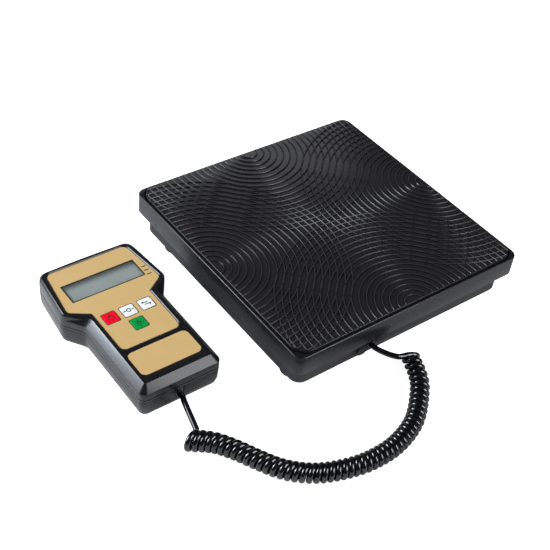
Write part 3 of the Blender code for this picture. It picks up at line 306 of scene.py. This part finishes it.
def make_active(piece):
    """Select one piece alone, as the operators act on all that is selected."""
    bpy.ops.object.select_all(action="DESELECT")
    piece.select_set(True)
    bpy.context.view_layer.objects.active = piece


make_active(cord)
bpy.ops.object.convert(target="MESH")
cord = bpy.context.object
bpy.ops.object.mode_set(mode="EDIT")
bpy.ops.mesh.select_all(action="SELECT")
bpy.ops.mesh.remove_doubles(threshold=JACKET_WELD)
bpy.ops.mesh.normals_make_consistent(inside=False)
bpy.ops.object.mode_set(mode="OBJECT")
bpy.ops.object.shade_smooth_by_angle(angle=math.radians(JACKET_SMOOTH_ANGLE))


def grain_group():
    """Build the moulded surface effect: a fine pebbled height and a slow, cloudy variation."""
    group = bpy.data.node_groups.new("moulded grain", "ShaderNodeTree")
    group.interface.new_socket("Place", in_out="INPUT", socket_type="NodeSocketVector")
    group.interface.new_socket("Grain Scale", in_out="INPUT", socket_type="NodeSocketFloat")
    group.interface.new_socket("Cloud Scale", in_out="INPUT", socket_type="NodeSocketFloat")
    group.interface.new_socket("Height", in_out="OUTPUT", socket_type="NodeSocketFloat")
    group.interface.new_socket("Cloud", in_out="OUTPUT", socket_type="NodeSocketFloat")
    entry = group.nodes.new("NodeGroupInput")
    leave = group.nodes.new("NodeGroupOutput")
    pebbles = group.nodes.new("ShaderNodeTexNoise")
    pebbles.inputs["Detail"].default_value = 2.0
    clouds = group.nodes.new("ShaderNodeTexNoise")
    clouds.inputs["Detail"].default_value = 4.0
    clouds.inputs["Roughness"].default_value = 0.6
    group.links.new(entry.outputs["Place"], pebbles.inputs["Vector"])
    group.links.new(entry.outputs["Grain Scale"], pebbles.inputs["Scale"])
    group.links.new(entry.outputs["Place"], clouds.inputs["Vector"])
    group.links.new(entry.outputs["Cloud Scale"], clouds.inputs["Scale"])
    group.links.new(pebbles.outputs["Fac"], leave.inputs["Height"])
    group.links.new(clouds.outputs["Fac"], leave.inputs["Cloud"])
    return group


moulded_grain = grain_group()
CLOUD_THIN = 0.3
CLOUD_THICK = 0.7


def grained_material(name, dark, light, rough, grain_scale, grain_depth, cloud_scale=35.0, metallic=0.0,
                     stretch=(1.0, 1.0, 1.0), shine=0.5):
    """Make a finish whose colour and gloss drift between two values over a fine grain."""
    material, tree, shader = new_material(name)
    grain = tree.nodes.new("ShaderNodeGroup")
    grain.node_tree = moulded_grain
    grain.inputs["Grain Scale"].default_value = grain_scale
    grain.inputs["Cloud Scale"].default_value = cloud_scale
    tree.links.new(texture_place(tree, stretch), grain.inputs["Place"])
    tint = tree.nodes.new("ShaderNodeMix")
    tint.data_type = "RGBA"
    tint.inputs["A"].default_value = (*dark, 1.0)
    tint.inputs["B"].default_value = (*light, 1.0)
    gloss = ramp(tree, grain.outputs["Cloud"], CLOUD_THIN, CLOUD_THICK, *rough)
    bump = tree.nodes.new("ShaderNodeBump")
    bump.inputs["Distance"].default_value = grain_depth
    bump.inputs["Strength"].default_value = 1.0
    tree.links.new(grain.outputs["Cloud"], tint.inputs["Factor"])
    tree.links.new(grain.outputs["Height"], bump.inputs["Height"])
    tree.links.new(tint.outputs["Result"], shader.inputs["Base Color"])
    tree.links.new(gloss, shader.inputs["Roughness"])
    tree.links.new(bump.outputs["Normal"], shader.inputs["Normal"])
    shader.inputs["Metallic"].default_value = metallic
    shader.inputs["Specular IOR Level"].default_value = shine
    return material


def dress(material, *names):
    """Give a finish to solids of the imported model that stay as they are."""
    for name in names:
        nodes[name].data.materials.clear()
        nodes[name].data.materials.append(material)


cord_jacket = grained_material("glossy cord jacket", (0.003, 0.003, 0.0035), (0.006, 0.006, 0.007),
                               rough=(0.06, 0.10), grain_scale=900.0, grain_depth=0.000004,
                               cloud_scale=120.0, shine=0.7)
cord.data.materials.append(cord_jacket)
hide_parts("cord_curls", "cord_lead_handset", "cord_lead_platform")
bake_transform(cord)
dress(cord_jacket, "load_cell_lead")

# Grommet and bush: moulded in the same black as the cord, pushed into the wall of the base and into the notch
# at the seam of the handset. Their hard edges are softened as a mould leaves them.
MOULDED_EDGE = 0.0003
EDGE_SEGMENTS = 3
SHARP_ANGLE = 26.0
SMOOTH_ANGLE = 38.0
FLAT_ANGLE = 0.5
WELD_REACH = 0.000003


def refined_copy(name, new_name, material, body, edge, edge_angle=SHARP_ANGLE):
    """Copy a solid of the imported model, weld it, round its sharp edges and put the copy in its place."""
    piece = bpy.data.objects.new(new_name, nodes[name].data.copy())
    piece.matrix_world = nodes[name].matrix_world
    bpy.context.scene.collection.objects.link(piece)
    make_active(piece)
    bpy.ops.object.transform_apply(location=True, rotation=True, scale=True)
    bpy.ops.object.mode_set(mode="EDIT")
    bpy.ops.mesh.select_all(action="SELECT")
    bpy.ops.mesh.remove_doubles(threshold=WELD_REACH)
    bpy.ops.mesh.dissolve_limited(angle_limit=math.radians(FLAT_ANGLE))
    bpy.ops.object.mode_set(mode="OBJECT")
    bevel = piece.modifiers.new("soft edges", "BEVEL")
    bevel.width = edge
    bevel.segments = EDGE_SEGMENTS
    bevel.limit_method = "ANGLE"
    bevel.angle_limit = math.radians(edge_angle)
    bevel.harden_normals = False
    bpy.ops.object.modifier_apply(modifier="soft edges")
    bpy.ops.object.shade_smooth_by_angle(angle=math.radians(SMOOTH_ANGLE))
    piece.data.materials.clear()
    piece.data.materials.append(material)
    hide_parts(name)
    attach(piece, body)


refined_copy("cord_grommet", "moulded_grommet", cord_jacket, "base", MOULDED_EDGE)
refined_copy("cord_bush", "moulded_bush", cord_jacket, "handset", MOULDED_EDGE)

# Base tray and feet: a moulded tray with a fine spark finish, set in under the edge of the cover. Four round
# rubber feet are pressed into recesses in its floor.
FOOT_EDGE = 0.0004
base_plastic = grained_material("matte base plastic", (0.006, 0.006, 0.0065), (0.010, 0.010, 0.011),
                                rough=(0.42, 0.52), grain_scale=1400.0, grain_depth=0.00002)
foot_rubber = grained_material("foot rubber", (0.007, 0.007, 0.007), (0.012, 0.012, 0.011),
                               rough=(0.60, 0.75), grain_scale=700.0, grain_depth=0.00005)
refined_copy("base_tray", "moulded_tray", base_plastic, "base", MOULDED_EDGE)
for corner in ("front_left", "front_right", "rear_left", "rear_right"):
    refined_copy("foot_" + corner, "round_foot_" + corner, foot_rubber, "base", FOOT_EDGE)

# Weighing works inside the base: a milled bar with a double hole between steel spacers, its bolts, the stop
# screws, and a pressed steel spider that carries the cover. The case screws of the handset have the same
# zinc plating, so they are dressed here too.
FASTENERS = ("case_screw", "cover_screw", "stop_screw", "lower_cell_bolt", "upper_cell_bolt")
MILLING_MARKS = (0.08, 1.0, 1.0)
milled_aluminium = grained_material("milled aluminium", (0.58, 0.58, 0.59), (0.76, 0.76, 0.77),
                                    rough=(0.28, 0.42), grain_scale=1200.0, grain_depth=0.00002,
                                    cloud_scale=90.0, metallic=1.0, stretch=MILLING_MARKS)
plated_steel = grained_material("zinc plated steel", (0.42, 0.43, 0.45), (0.62, 0.63, 0.64),
                                rough=(0.25, 0.40), grain_scale=800.0, grain_depth=0.00002,
                                cloud_scale=160.0, metallic=1.0)
dress(milled_aluminium, "load_cell")
dress(plated_steel, "lower_spacer", "upper_spacer", "spider")
dress(plated_steel, *[name for name in nodes if name.startswith(FASTENERS)])

# Cover: one moulded cap of satin black plastic, with a skirt all round and a thin bright edge round the
# shallow tray that holds the mat. Screws under the mat fix it to the spider.
COVER_EDGE = 0.0002
COVER_SHARP_ANGLE = 50.0
SATIN_SHINE = 0.42
satin_plastic = grained_material("satin black plastic", (0.0065, 0.0065, 0.0075), (0.0085, 0.0085, 0.0095),
                                 rough=(0.26, 0.30), grain_scale=2600.0, grain_depth=0.000008,
                                 cloud_scale=60.0, shine=SATIN_SHINE)
refined_copy("top_cover", "moulded_cover", satin_plastic, "platform", COVER_EDGE,
             COVER_SHARP_ANGLE)

# Mat: a moulded rubber sheet that lies in the cover's tray. Four sets of round ripple ribs spread from the
# middles of its sides and run through each other. Their crests carry a painted highlight and their flanks
# a painted shade.
MAT_SETBACK = 0.0014
MAT_CORNER = 0.0135
MAT_CORNER_SEGMENTS = 10
MAT_EDGE = 0.0004
MAT_SMOOTH_ANGLE = 40.0
SAME_LEVEL = 0.0001
RIB_HEIGHT = 0.0010
RIB_HALF_WIDTH = 0.0006
RIB_SIDES = 10
RIB_FIRST = 0.0084
RIB_PITCH = 0.00599
RIB_COUNT = 18
RIB_STEP = 0.0026
RIB_LEAST_STEPS = 40
RIB_SINK = 0.0002
CORNER_CUTS = 5
PAINTED_FLANK_SHADE = (0.005, 0.0045, 0.005, 1.0)
PAINTED_CREST_HIGHLIGHT = (0.034, 0.031, 0.035, 1.0)
mat_low, mat_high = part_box("rubber_mat")
field_height = mat_high[2] - RIB_HEIGHT
mat_side = mat_high[0] - mat_low[0] - MAT_SETBACK
mat_middle = Vector((mat_high[0] - mat_side / 2, mat_high[1] - mat_side / 2, 0.0))
field_middle = (mat_low[2] + field_height) / 2
bpy.ops.mesh.primitive_cube_add(size=1.0, location=(mat_middle.x, mat_middle.y, field_middle))
mat = bpy.context.object
mat.name = "ribbed_mat"
mat.scale = (mat_side, mat_side, field_height - mat_low[2])
bpy.ops.object.transform_apply(location=True, scale=True)


def select_edges(piece, wanted):
    """Select in edit mode only the edges whose two ends pass a test."""
    bpy.ops.object.mode_set(mode="EDIT")
    bpy.ops.mesh.select_mode(type="EDGE")
    bpy.ops.mesh.select_all(action="DESELECT")
    bpy.ops.object.mode_set(mode="OBJECT")
    for edge in piece.data.edges:
        first, second = (piece.data.vertices[index].co for index in edge.vertices)
        edge.select = wanted(first, second)
    bpy.ops.object.mode_set(mode="EDIT")


def upright(first, second):
    """Tell whether an edge stands at a corner of the mat."""
    return abs(first.z - second.z) > SAME_LEVEL


def round_the_top(first, second):
    """Tell whether an edge runs round the top of the mat."""
    return min(first.z, second.z) > field_height - SAME_LEVEL


select_edges(mat, upright)
bpy.ops.mesh.bevel(offset=MAT_CORNER, segments=MAT_CORNER_SEGMENTS)
bpy.ops.object.mode_set(mode="OBJECT")
select_edges(mat, round_the_top)
bpy.ops.mesh.bevel(offset=MAT_EDGE, segments=EDGE_SEGMENTS)
bpy.ops.object.mode_set(mode="OBJECT")


def join_pieces(pieces):
    """Join pieces into the first of them."""
    bpy.ops.object.select_all(action="DESELECT")
    for piece in pieces:
        piece.select_set(True)
    bpy.context.view_layer.objects.active = pieces[0]
    bpy.ops.object.join()
    bpy.ops.object.transform_apply(location=True, rotation=True, scale=True)
    return bpy.context.object


def rib_cuts(heading):
    """Give the point and outward direction of each cut that trims a set of ribs to its side and corners."""
    half = mat_side / 2
    outward = Vector((math.cos(heading), math.sin(heading), 0.0))
    across = Vector((-outward.y, outward.x, 0.0))
    cuts = [(Vector((0.0, 0.0, field_height - RIB_SINK)), -SKYWARD)]
    cuts.append((mat_middle + (half - RIB_SINK) * outward, outward))
    for sign in (-1, 1):
        pivot = mat_middle + (half - MAT_CORNER) * (outward + sign * across)
        for number in range(1, CORNER_CUTS + 1):
            turn = math.pi / 2 * number / (CORNER_CUTS + 1)
            direction = math.cos(turn) * outward + sign * math.sin(turn) * across
            cuts.append((pivot + (MAT_CORNER - RIB_SINK) * direction, direction))
    return cuts


ring_top = RIB_HALF_WIDTH * math.sin(2 * math.pi * (RIB_SIDES // 4) / RIB_SIDES)
side_reach = (mat_high[0] - mat_low[0]) / 2
rib_sets = []
for turn in range(4):
    heading = turn * math.pi / 2
    edge_middle = Vector((platform_x + side_reach * math.cos(heading), side_reach * math.sin(heading),
                          field_height))
    rings = []
    for number in range(RIB_COUNT):
        radius = RIB_FIRST + number * RIB_PITCH
        steps = max(RIB_LEAST_STEPS, 4 * round(math.pi * radius / (2 * RIB_STEP)))
        bpy.ops.mesh.primitive_torus_add(major_radius=radius, minor_radius=RIB_HALF_WIDTH,
                                         major_segments=steps, minor_segments=RIB_SIDES,
                                         location=edge_middle)
        rings.append(bpy.context.object)
        rings[-1].scale.z = RIB_HEIGHT / ring_top
    ribs = join_pieces(rings)
    bpy.ops.object.mode_set(mode="EDIT")
    for point, direction in rib_cuts(heading):
        bpy.ops.mesh.select_all(action="SELECT")
        bpy.ops.mesh.bisect(plane_co=point, plane_no=direction, use_fill=True, clear_outer=True)
    bpy.ops.object.mode_set(mode="OBJECT")
    rib_sets.append(ribs)
mat = join_pieces([mat] + rib_sets)
bpy.ops.object.shade_smooth_by_angle(angle=math.radians(MAT_SMOOTH_ANGLE))


def tone_along(material, direction, start, stop, tone):
    """Blend a tone of painted light or shade into a finish from one place on the piece to another along X, Y
    or Z.
    """
    tree = material.node_tree
    shader = tree.nodes["Principled BSDF"]
    share = ramp(tree, place_along(tree, direction), start, stop, 0.0, 1.0, "SMOOTHSTEP")
    blend = tree.nodes.new("ShaderNodeMix")
    blend.data_type = "RGBA"
    blend.inputs["B"].default_value = tone
    tree.links.new(share, blend.inputs["Factor"])
    tree.links.new(shader.inputs["Base Color"].links[0].from_socket, blend.inputs["A"])
    tree.links.new(blend.outputs["Result"], shader.inputs["Base Color"])


def rib_level(share):
    """Give the height of a share of the way up a rib."""
    return field_height + share * RIB_HEIGHT


mat_rubber = grained_material("mat rubber", (0.0130, 0.0115, 0.0130), (0.0170, 0.0150, 0.0170),
                              rough=(0.24, 0.30), grain_scale=900.0, grain_depth=0.00003)
# Painted shade on the lower flanks of the ribs and a painted highlight on their crests.
tone_along(mat_rubber, "Z", rib_level(0.05), rib_level(0.15), PAINTED_FLANK_SHADE)
tone_along(mat_rubber, "Z", rib_level(0.65), rib_level(0.95), PAINTED_CREST_HIGHLIGHT)
mat.data.materials.clear()
mat.data.materials.append(mat_rubber)
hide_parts("rubber_mat")
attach(mat, "platform")

# Handset case: two moulded shells of the cover's plastic that meet at a seam half way up, with wide flat
# chamfers round the grip. A band round the seam has its shine taken away, a painted shade of the line.
# A cover over the battery slides off the end.
UPPER_SHELL_EDGE = 0.00035
BATTERY_COVER_EDGE = 0.0002
SEAM_PAINTED_SHADE_REACH = 0.0003
SEAM_END = 0.0006
seam_height = (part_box("lower_shell")[1][2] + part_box("upper_shell")[0][2]) / 2
case_plastic = satin_plastic.copy()
case_plastic.name = "satin black case plastic"
tree = case_plastic.node_tree
# Painted shade at the seam: the shine fades out in a band round the height of the seam.
above_seam = tree.nodes.new("ShaderNodeMath")
above_seam.operation = "SUBTRACT"
above_seam.inputs[1].default_value = seam_height
from_seam = tree.nodes.new("ShaderNodeMath")
from_seam.operation = "ABSOLUTE"
tree.links.new(place_along(tree, "Z"), above_seam.inputs[0])
tree.links.new(above_seam.outputs["Value"], from_seam.inputs[0])
seam_shine = ramp(tree, from_seam.outputs["Value"], SEAM_PAINTED_SHADE_REACH, SEAM_END, 0.0, SATIN_SHINE)
tree.links.new(seam_shine, tree.nodes["Principled BSDF"].inputs["Specular IOR Level"])
refined_copy("upper_shell", "moulded_upper_shell", case_plastic, "handset", UPPER_SHELL_EDGE)
refined_copy("lower_shell", "moulded_lower_shell", case_plastic, "handset", MOULDED_EDGE)
refined_copy("battery_cover", "moulded_battery_cover", satin_plastic, "battery_cover",
             BATTERY_COVER_EDGE)

# Labels: two pieces of gold plastic film, stuck in shallow recesses of the upper shell. The large one
# surrounds the display and the keys, and the small one lies below it on the grip.
gold_film = grained_material("gold label film", (0.69, 0.45, 0.180), (0.73, 0.48, 0.196),
                             rough=(0.38, 0.48), grain_scale=2500.0, grain_depth=0.000005, cloud_scale=60.0,
                             metallic=0.1)
dress(gold_film, "main_label", "small_label")

# Display: a grey-green liquid crystal cell in a white plastic frame, under a clear window in the opening of
# the upper shell. The cell lies deep, and a painted shade darkens it at the top and at the left, where the
# edge of the opening would shade it.
WINDOW_OPACITY = 0.15
PAINTED_CELL_SHADE = (0.075, 0.085, 0.080, 1.0)
TOP_SHADE_START = 0.0075
TOP_SHADE_END = 0.0010
LEFT_SHADE_START = 0.0040
LEFT_SHADE_END = 0.0020
display_window = grained_material("display window", (0.30, 0.33, 0.32), (0.36, 0.39, 0.37),
                                  rough=(0.08, 0.14), grain_scale=300.0, grain_depth=0.000001)
display_cell = grained_material("display cell", (0.33, 0.36, 0.33), (0.39, 0.42, 0.39),
                                rough=(0.16, 0.24), grain_scale=300.0, grain_depth=0.000001)
frame_plastic = grained_material("white frame plastic", (0.74, 0.74, 0.72), (0.82, 0.82, 0.80),
                                 rough=(0.45, 0.55), grain_scale=1200.0, grain_depth=0.00001)
display_window.node_tree.nodes["Principled BSDF"].inputs["Alpha"].default_value = WINDOW_OPACITY
cell_low, cell_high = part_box("lcd_window")
# Painted shade on the cell towards its top edge and its left edge.
tone_along(display_cell, "Y", cell_high[1] - TOP_SHADE_START, cell_high[1] + TOP_SHADE_END, PAINTED_CELL_SHADE)
tone_along(display_cell, "X", cell_low[0] + LEFT_SHADE_START, cell_low[0] - LEFT_SHADE_END, PAINTED_CELL_SHADE)
dress(display_window, "lcd_window")
dress(display_cell, "lcd_panel")
dress(frame_plastic, "lcd_frame")

# Keys: four moulded plastic caps, one red, two white and one green. Each has a flange behind its face that
# keeps it in the shell, and stands over a tact switch.
KEY_EDGE = 0.00015
WHITE_CAP = ("white_key", (0.87, 0.855, 0.84), (0.91, 0.895, 0.88))
KEY_CAPS = {
    "key_power": ("red_key", (0.92, 0.001, 0.016), (0.99, 0.002, 0.026)),
    "key_zero": WHITE_CAP,
    "key_unit": WHITE_CAP,
    "key_lamp": ("green_key", (0.0, 0.30, 0.052), (0.001, 0.35, 0.066)),
}
for key, (slot, dark, light) in KEY_CAPS.items():
    cap = grained_material(key + " cap", dark, light,
                           rough=(0.42, 0.52), grain_scale=1500.0, grain_depth=0.00001, shine=0.1)
    refined_copy(key, "moulded_" + key, cap, key, KEY_EDGE)

# Printing: dark ink on the keys, a plain sign on each, and on the label a line round the window and three
# marks beside the window. It is screen printed, so it stands a hair above what it is printed on. A dark line
# round each key on the label, as high, is painted shade of the gap round the key.
INK_HEIGHT = 0.00003
INK_RING_STEPS = 32
INK_RING_SIDES = 8
INK_CORNER_SEGMENTS = 5
SIGN_LINE = 0.0008
dark_ink_and_key_gap_shade = grained_material("black print and painted key gap shade", (0.010, 0.010, 0.011), (0.016, 0.016, 0.017),
                             rough=(0.45, 0.55), grain_scale=1500.0, grain_depth=0.000002)


def ink_bar(place, length, width, turn=0.0):
    """Lay one straight stroke of ink, its middle at a place and turned from the x direction."""
    bpy.ops.mesh.primitive_cube_add(size=1.0, location=place)
    bar = bpy.context.object
    bar.scale = (length, width, INK_HEIGHT)
    bar.rotation_euler.z = turn
    return bar


def ink_ring(place, radius, width):
    """Lay one round stroke of ink."""
    bpy.ops.mesh.primitive_torus_add(major_radius=radius, minor_radius=width / 2,
                                     major_segments=INK_RING_STEPS, minor_segments=INK_RING_SIDES,
                                     location=place)
    ring = bpy.context.object
    ring.scale.z = INK_HEIGHT / width
    return ring


def finish_dark_strokes(strokes, name, body):
    """Join dark strokes into one piece, a sign or the label's print with its painted key gap shade, and let
    it ride on the piece it lies on.
    """
    sign = join_pieces(strokes)
    sign.name = name
    sign.data.materials.clear()
    sign.data.materials.append(dark_ink_and_key_gap_shade)
    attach(sign, body)


def face_point(name, x=0.0, y=0.0):
    """Give a point on the top face of a solid, measured from the middle of the face."""
    low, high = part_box(name)
    return Vector(((low[0] + high[0]) / 2 + x, (low[1] + high[1]) / 2 + y, high[2] + INK_HEIGHT / 2))


POWER_RING_RADIUS = 0.0023
POWER_RING_DROP = 0.0004
POWER_BAR_RISE = 0.0018
POWER_BAR_LENGTH = 0.0034
POWER_BAR_WIDTH = 0.0009
power_ring = ink_ring(face_point("key_power", y=-POWER_RING_DROP), POWER_RING_RADIUS, SIGN_LINE)
power_bar = ink_bar(face_point("key_power", y=POWER_BAR_RISE), POWER_BAR_LENGTH, POWER_BAR_WIDTH, math.pi / 2)
finish_dark_strokes([power_ring, power_bar], "power_sign", "key_power")

ZERO_RING_RADIUS = 0.0016
ZERO_BAR_PLACE = 0.0036
ZERO_BAR_LENGTH = 0.0022
zero_strokes = [ink_ring(face_point("key_zero"), ZERO_RING_RADIUS, SIGN_LINE)]
for side in (-1, 1):
    zero_strokes.append(ink_bar(face_point("key_zero", side * ZERO_BAR_PLACE), ZERO_BAR_LENGTH, SIGN_LINE))
finish_dark_strokes(zero_strokes, "zero_sign", "key_zero")

ARROW_SHIFT = 0.0008
ARROW_RISE = 0.0011
ARROW_LENGTH = 0.0050
BARB_PLACE = (0.0026, 0.0018)
BARB_LENGTH = 0.0020
unit_strokes = []
for side in (-1, 1):
    shaft_middle = face_point("key_unit", side * ARROW_SHIFT, side * -ARROW_RISE)
    unit_strokes.append(ink_bar(shaft_middle, ARROW_LENGTH, SIGN_LINE))
for side in (-1, 1):
    barb_middle = face_point("key_unit", side * BARB_PLACE[0], side * -BARB_PLACE[1])
    unit_strokes.append(ink_bar(barb_middle, BARB_LENGTH, SIGN_LINE, math.pi / 4))
finish_dark_strokes(unit_strokes, "unit_sign", "key_unit")

LAMP_RING_RADIUS = 0.0013
LAMP_RAYS = 8
LAMP_RAY_REACH = 0.0031
LAMP_RAY_LENGTH = 0.0014
LAMP_RAY_WIDTH = 0.0007
lamp_strokes = [ink_ring(face_point("key_lamp"), LAMP_RING_RADIUS, SIGN_LINE)]
for number in range(LAMP_RAYS):
    turn = 2 * math.pi * number / LAMP_RAYS
    ray_middle = face_point("key_lamp", LAMP_RAY_REACH * math.cos(turn), LAMP_RAY_REACH * math.sin(turn))
    lamp_strokes.append(ink_bar(ray_middle, LAMP_RAY_LENGTH, LAMP_RAY_WIDTH, turn))
finish_dark_strokes(lamp_strokes, "lamp_sign", "key_lamp")


def dark_frame(name, grow, corner, width):
    """Draw a dark line on the face of the label, along the box of a window or key grown by a little: print
    round the window, painted shade of the gap round a key.
    """
    low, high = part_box(name)
    label_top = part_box("main_label")[1][2]
    middle = ((low[0] + high[0]) / 2, (low[1] + high[1]) / 2, label_top)
    bpy.ops.mesh.primitive_plane_add(size=1.0, location=middle)
    line = bpy.context.object
    line.scale = (high[0] - low[0] + 2 * grow, high[1] - low[1] + 2 * grow, 1.0)
    bpy.ops.object.transform_apply(location=True, scale=True)
    bpy.ops.object.mode_set(mode="EDIT")
    bpy.ops.mesh.select_all(action="SELECT")
    bpy.ops.mesh.bevel(offset=corner, segments=INK_CORNER_SEGMENTS, affect="VERTICES")
    bpy.ops.mesh.select_all(action="SELECT")
    bpy.ops.mesh.inset(thickness=width)
    bpy.ops.mesh.delete(type="FACE")
    bpy.ops.mesh.select_all(action="SELECT")
    bpy.ops.mesh.extrude_region_move(TRANSFORM_OT_translate={"value": (0.0, 0.0, INK_HEIGHT)})
    bpy.ops.mesh.select_all(action="SELECT")
    bpy.ops.mesh.normals_make_consistent(inside=False)
    bpy.ops.object.mode_set(mode="OBJECT")
    return line


WINDOW_LINE = 0.0009
WINDOW_GROW = 0.0007
WINDOW_CORNER = 0.0008
KEY_GAP_SHADE_LINE = 0.0006
KEY_FLANGE_INSIDE = 0.0003
KEY_CORNER = 0.0014
MARK_PLACE = 0.0356
MARK_RISES = (0.0215, 0.0167, 0.0119)
MARK_LENGTH = 0.0040
MARK_WIDTH = 0.0010
label_dark_strokes = [dark_frame("lcd_window", WINDOW_GROW, WINDOW_CORNER, WINDOW_LINE)]
# A dark line round each key: painted shade of the gap round the key.
for key in KEY_CAPS:
    label_dark_strokes.append(dark_frame(key, -KEY_FLANGE_INSIDE, KEY_CORNER, KEY_GAP_SHADE_LINE))
for rise in MARK_RISES:
    label_dark_strokes.append(ink_bar(face_point("main_label", MARK_PLACE, rise), MARK_LENGTH, MARK_WIDTH))
finish_dark_strokes(label_dark_strokes, "label_print_and_key_gap_shade", "handset")

# Works of the handset: a green circuit board held between posts of the two shells, with a tact switch under
# each key, and a block battery in a metal sleeve, with its snap, between ribs of the lower shell.
board_green = grained_material("circuit board", (0.012, 0.12, 0.04), (0.02, 0.18, 0.06),
                               rough=(0.30, 0.45), grain_scale=500.0, grain_depth=0.00003,
                               cloud_scale=200.0)
switch_plastic = grained_material("switch plastic", (0.015, 0.015, 0.015), (0.03, 0.03, 0.03),
                                  rough=(0.40, 0.50), grain_scale=900.0, grain_depth=0.00002)
battery_sleeve = grained_material("battery sleeve", (0.07, 0.07, 0.08), (0.12, 0.12, 0.13),
                                  rough=(0.28, 0.38), grain_scale=700.0, grain_depth=0.00001,
                                  cloud_scale=60.0, metallic=0.6)
dress(board_green, "circuit_board")
dress(switch_plastic, "switch_power", "switch_zero", "switch_unit", "switch_lamp", "battery_snap")
dress(battery_sleeve, "battery")
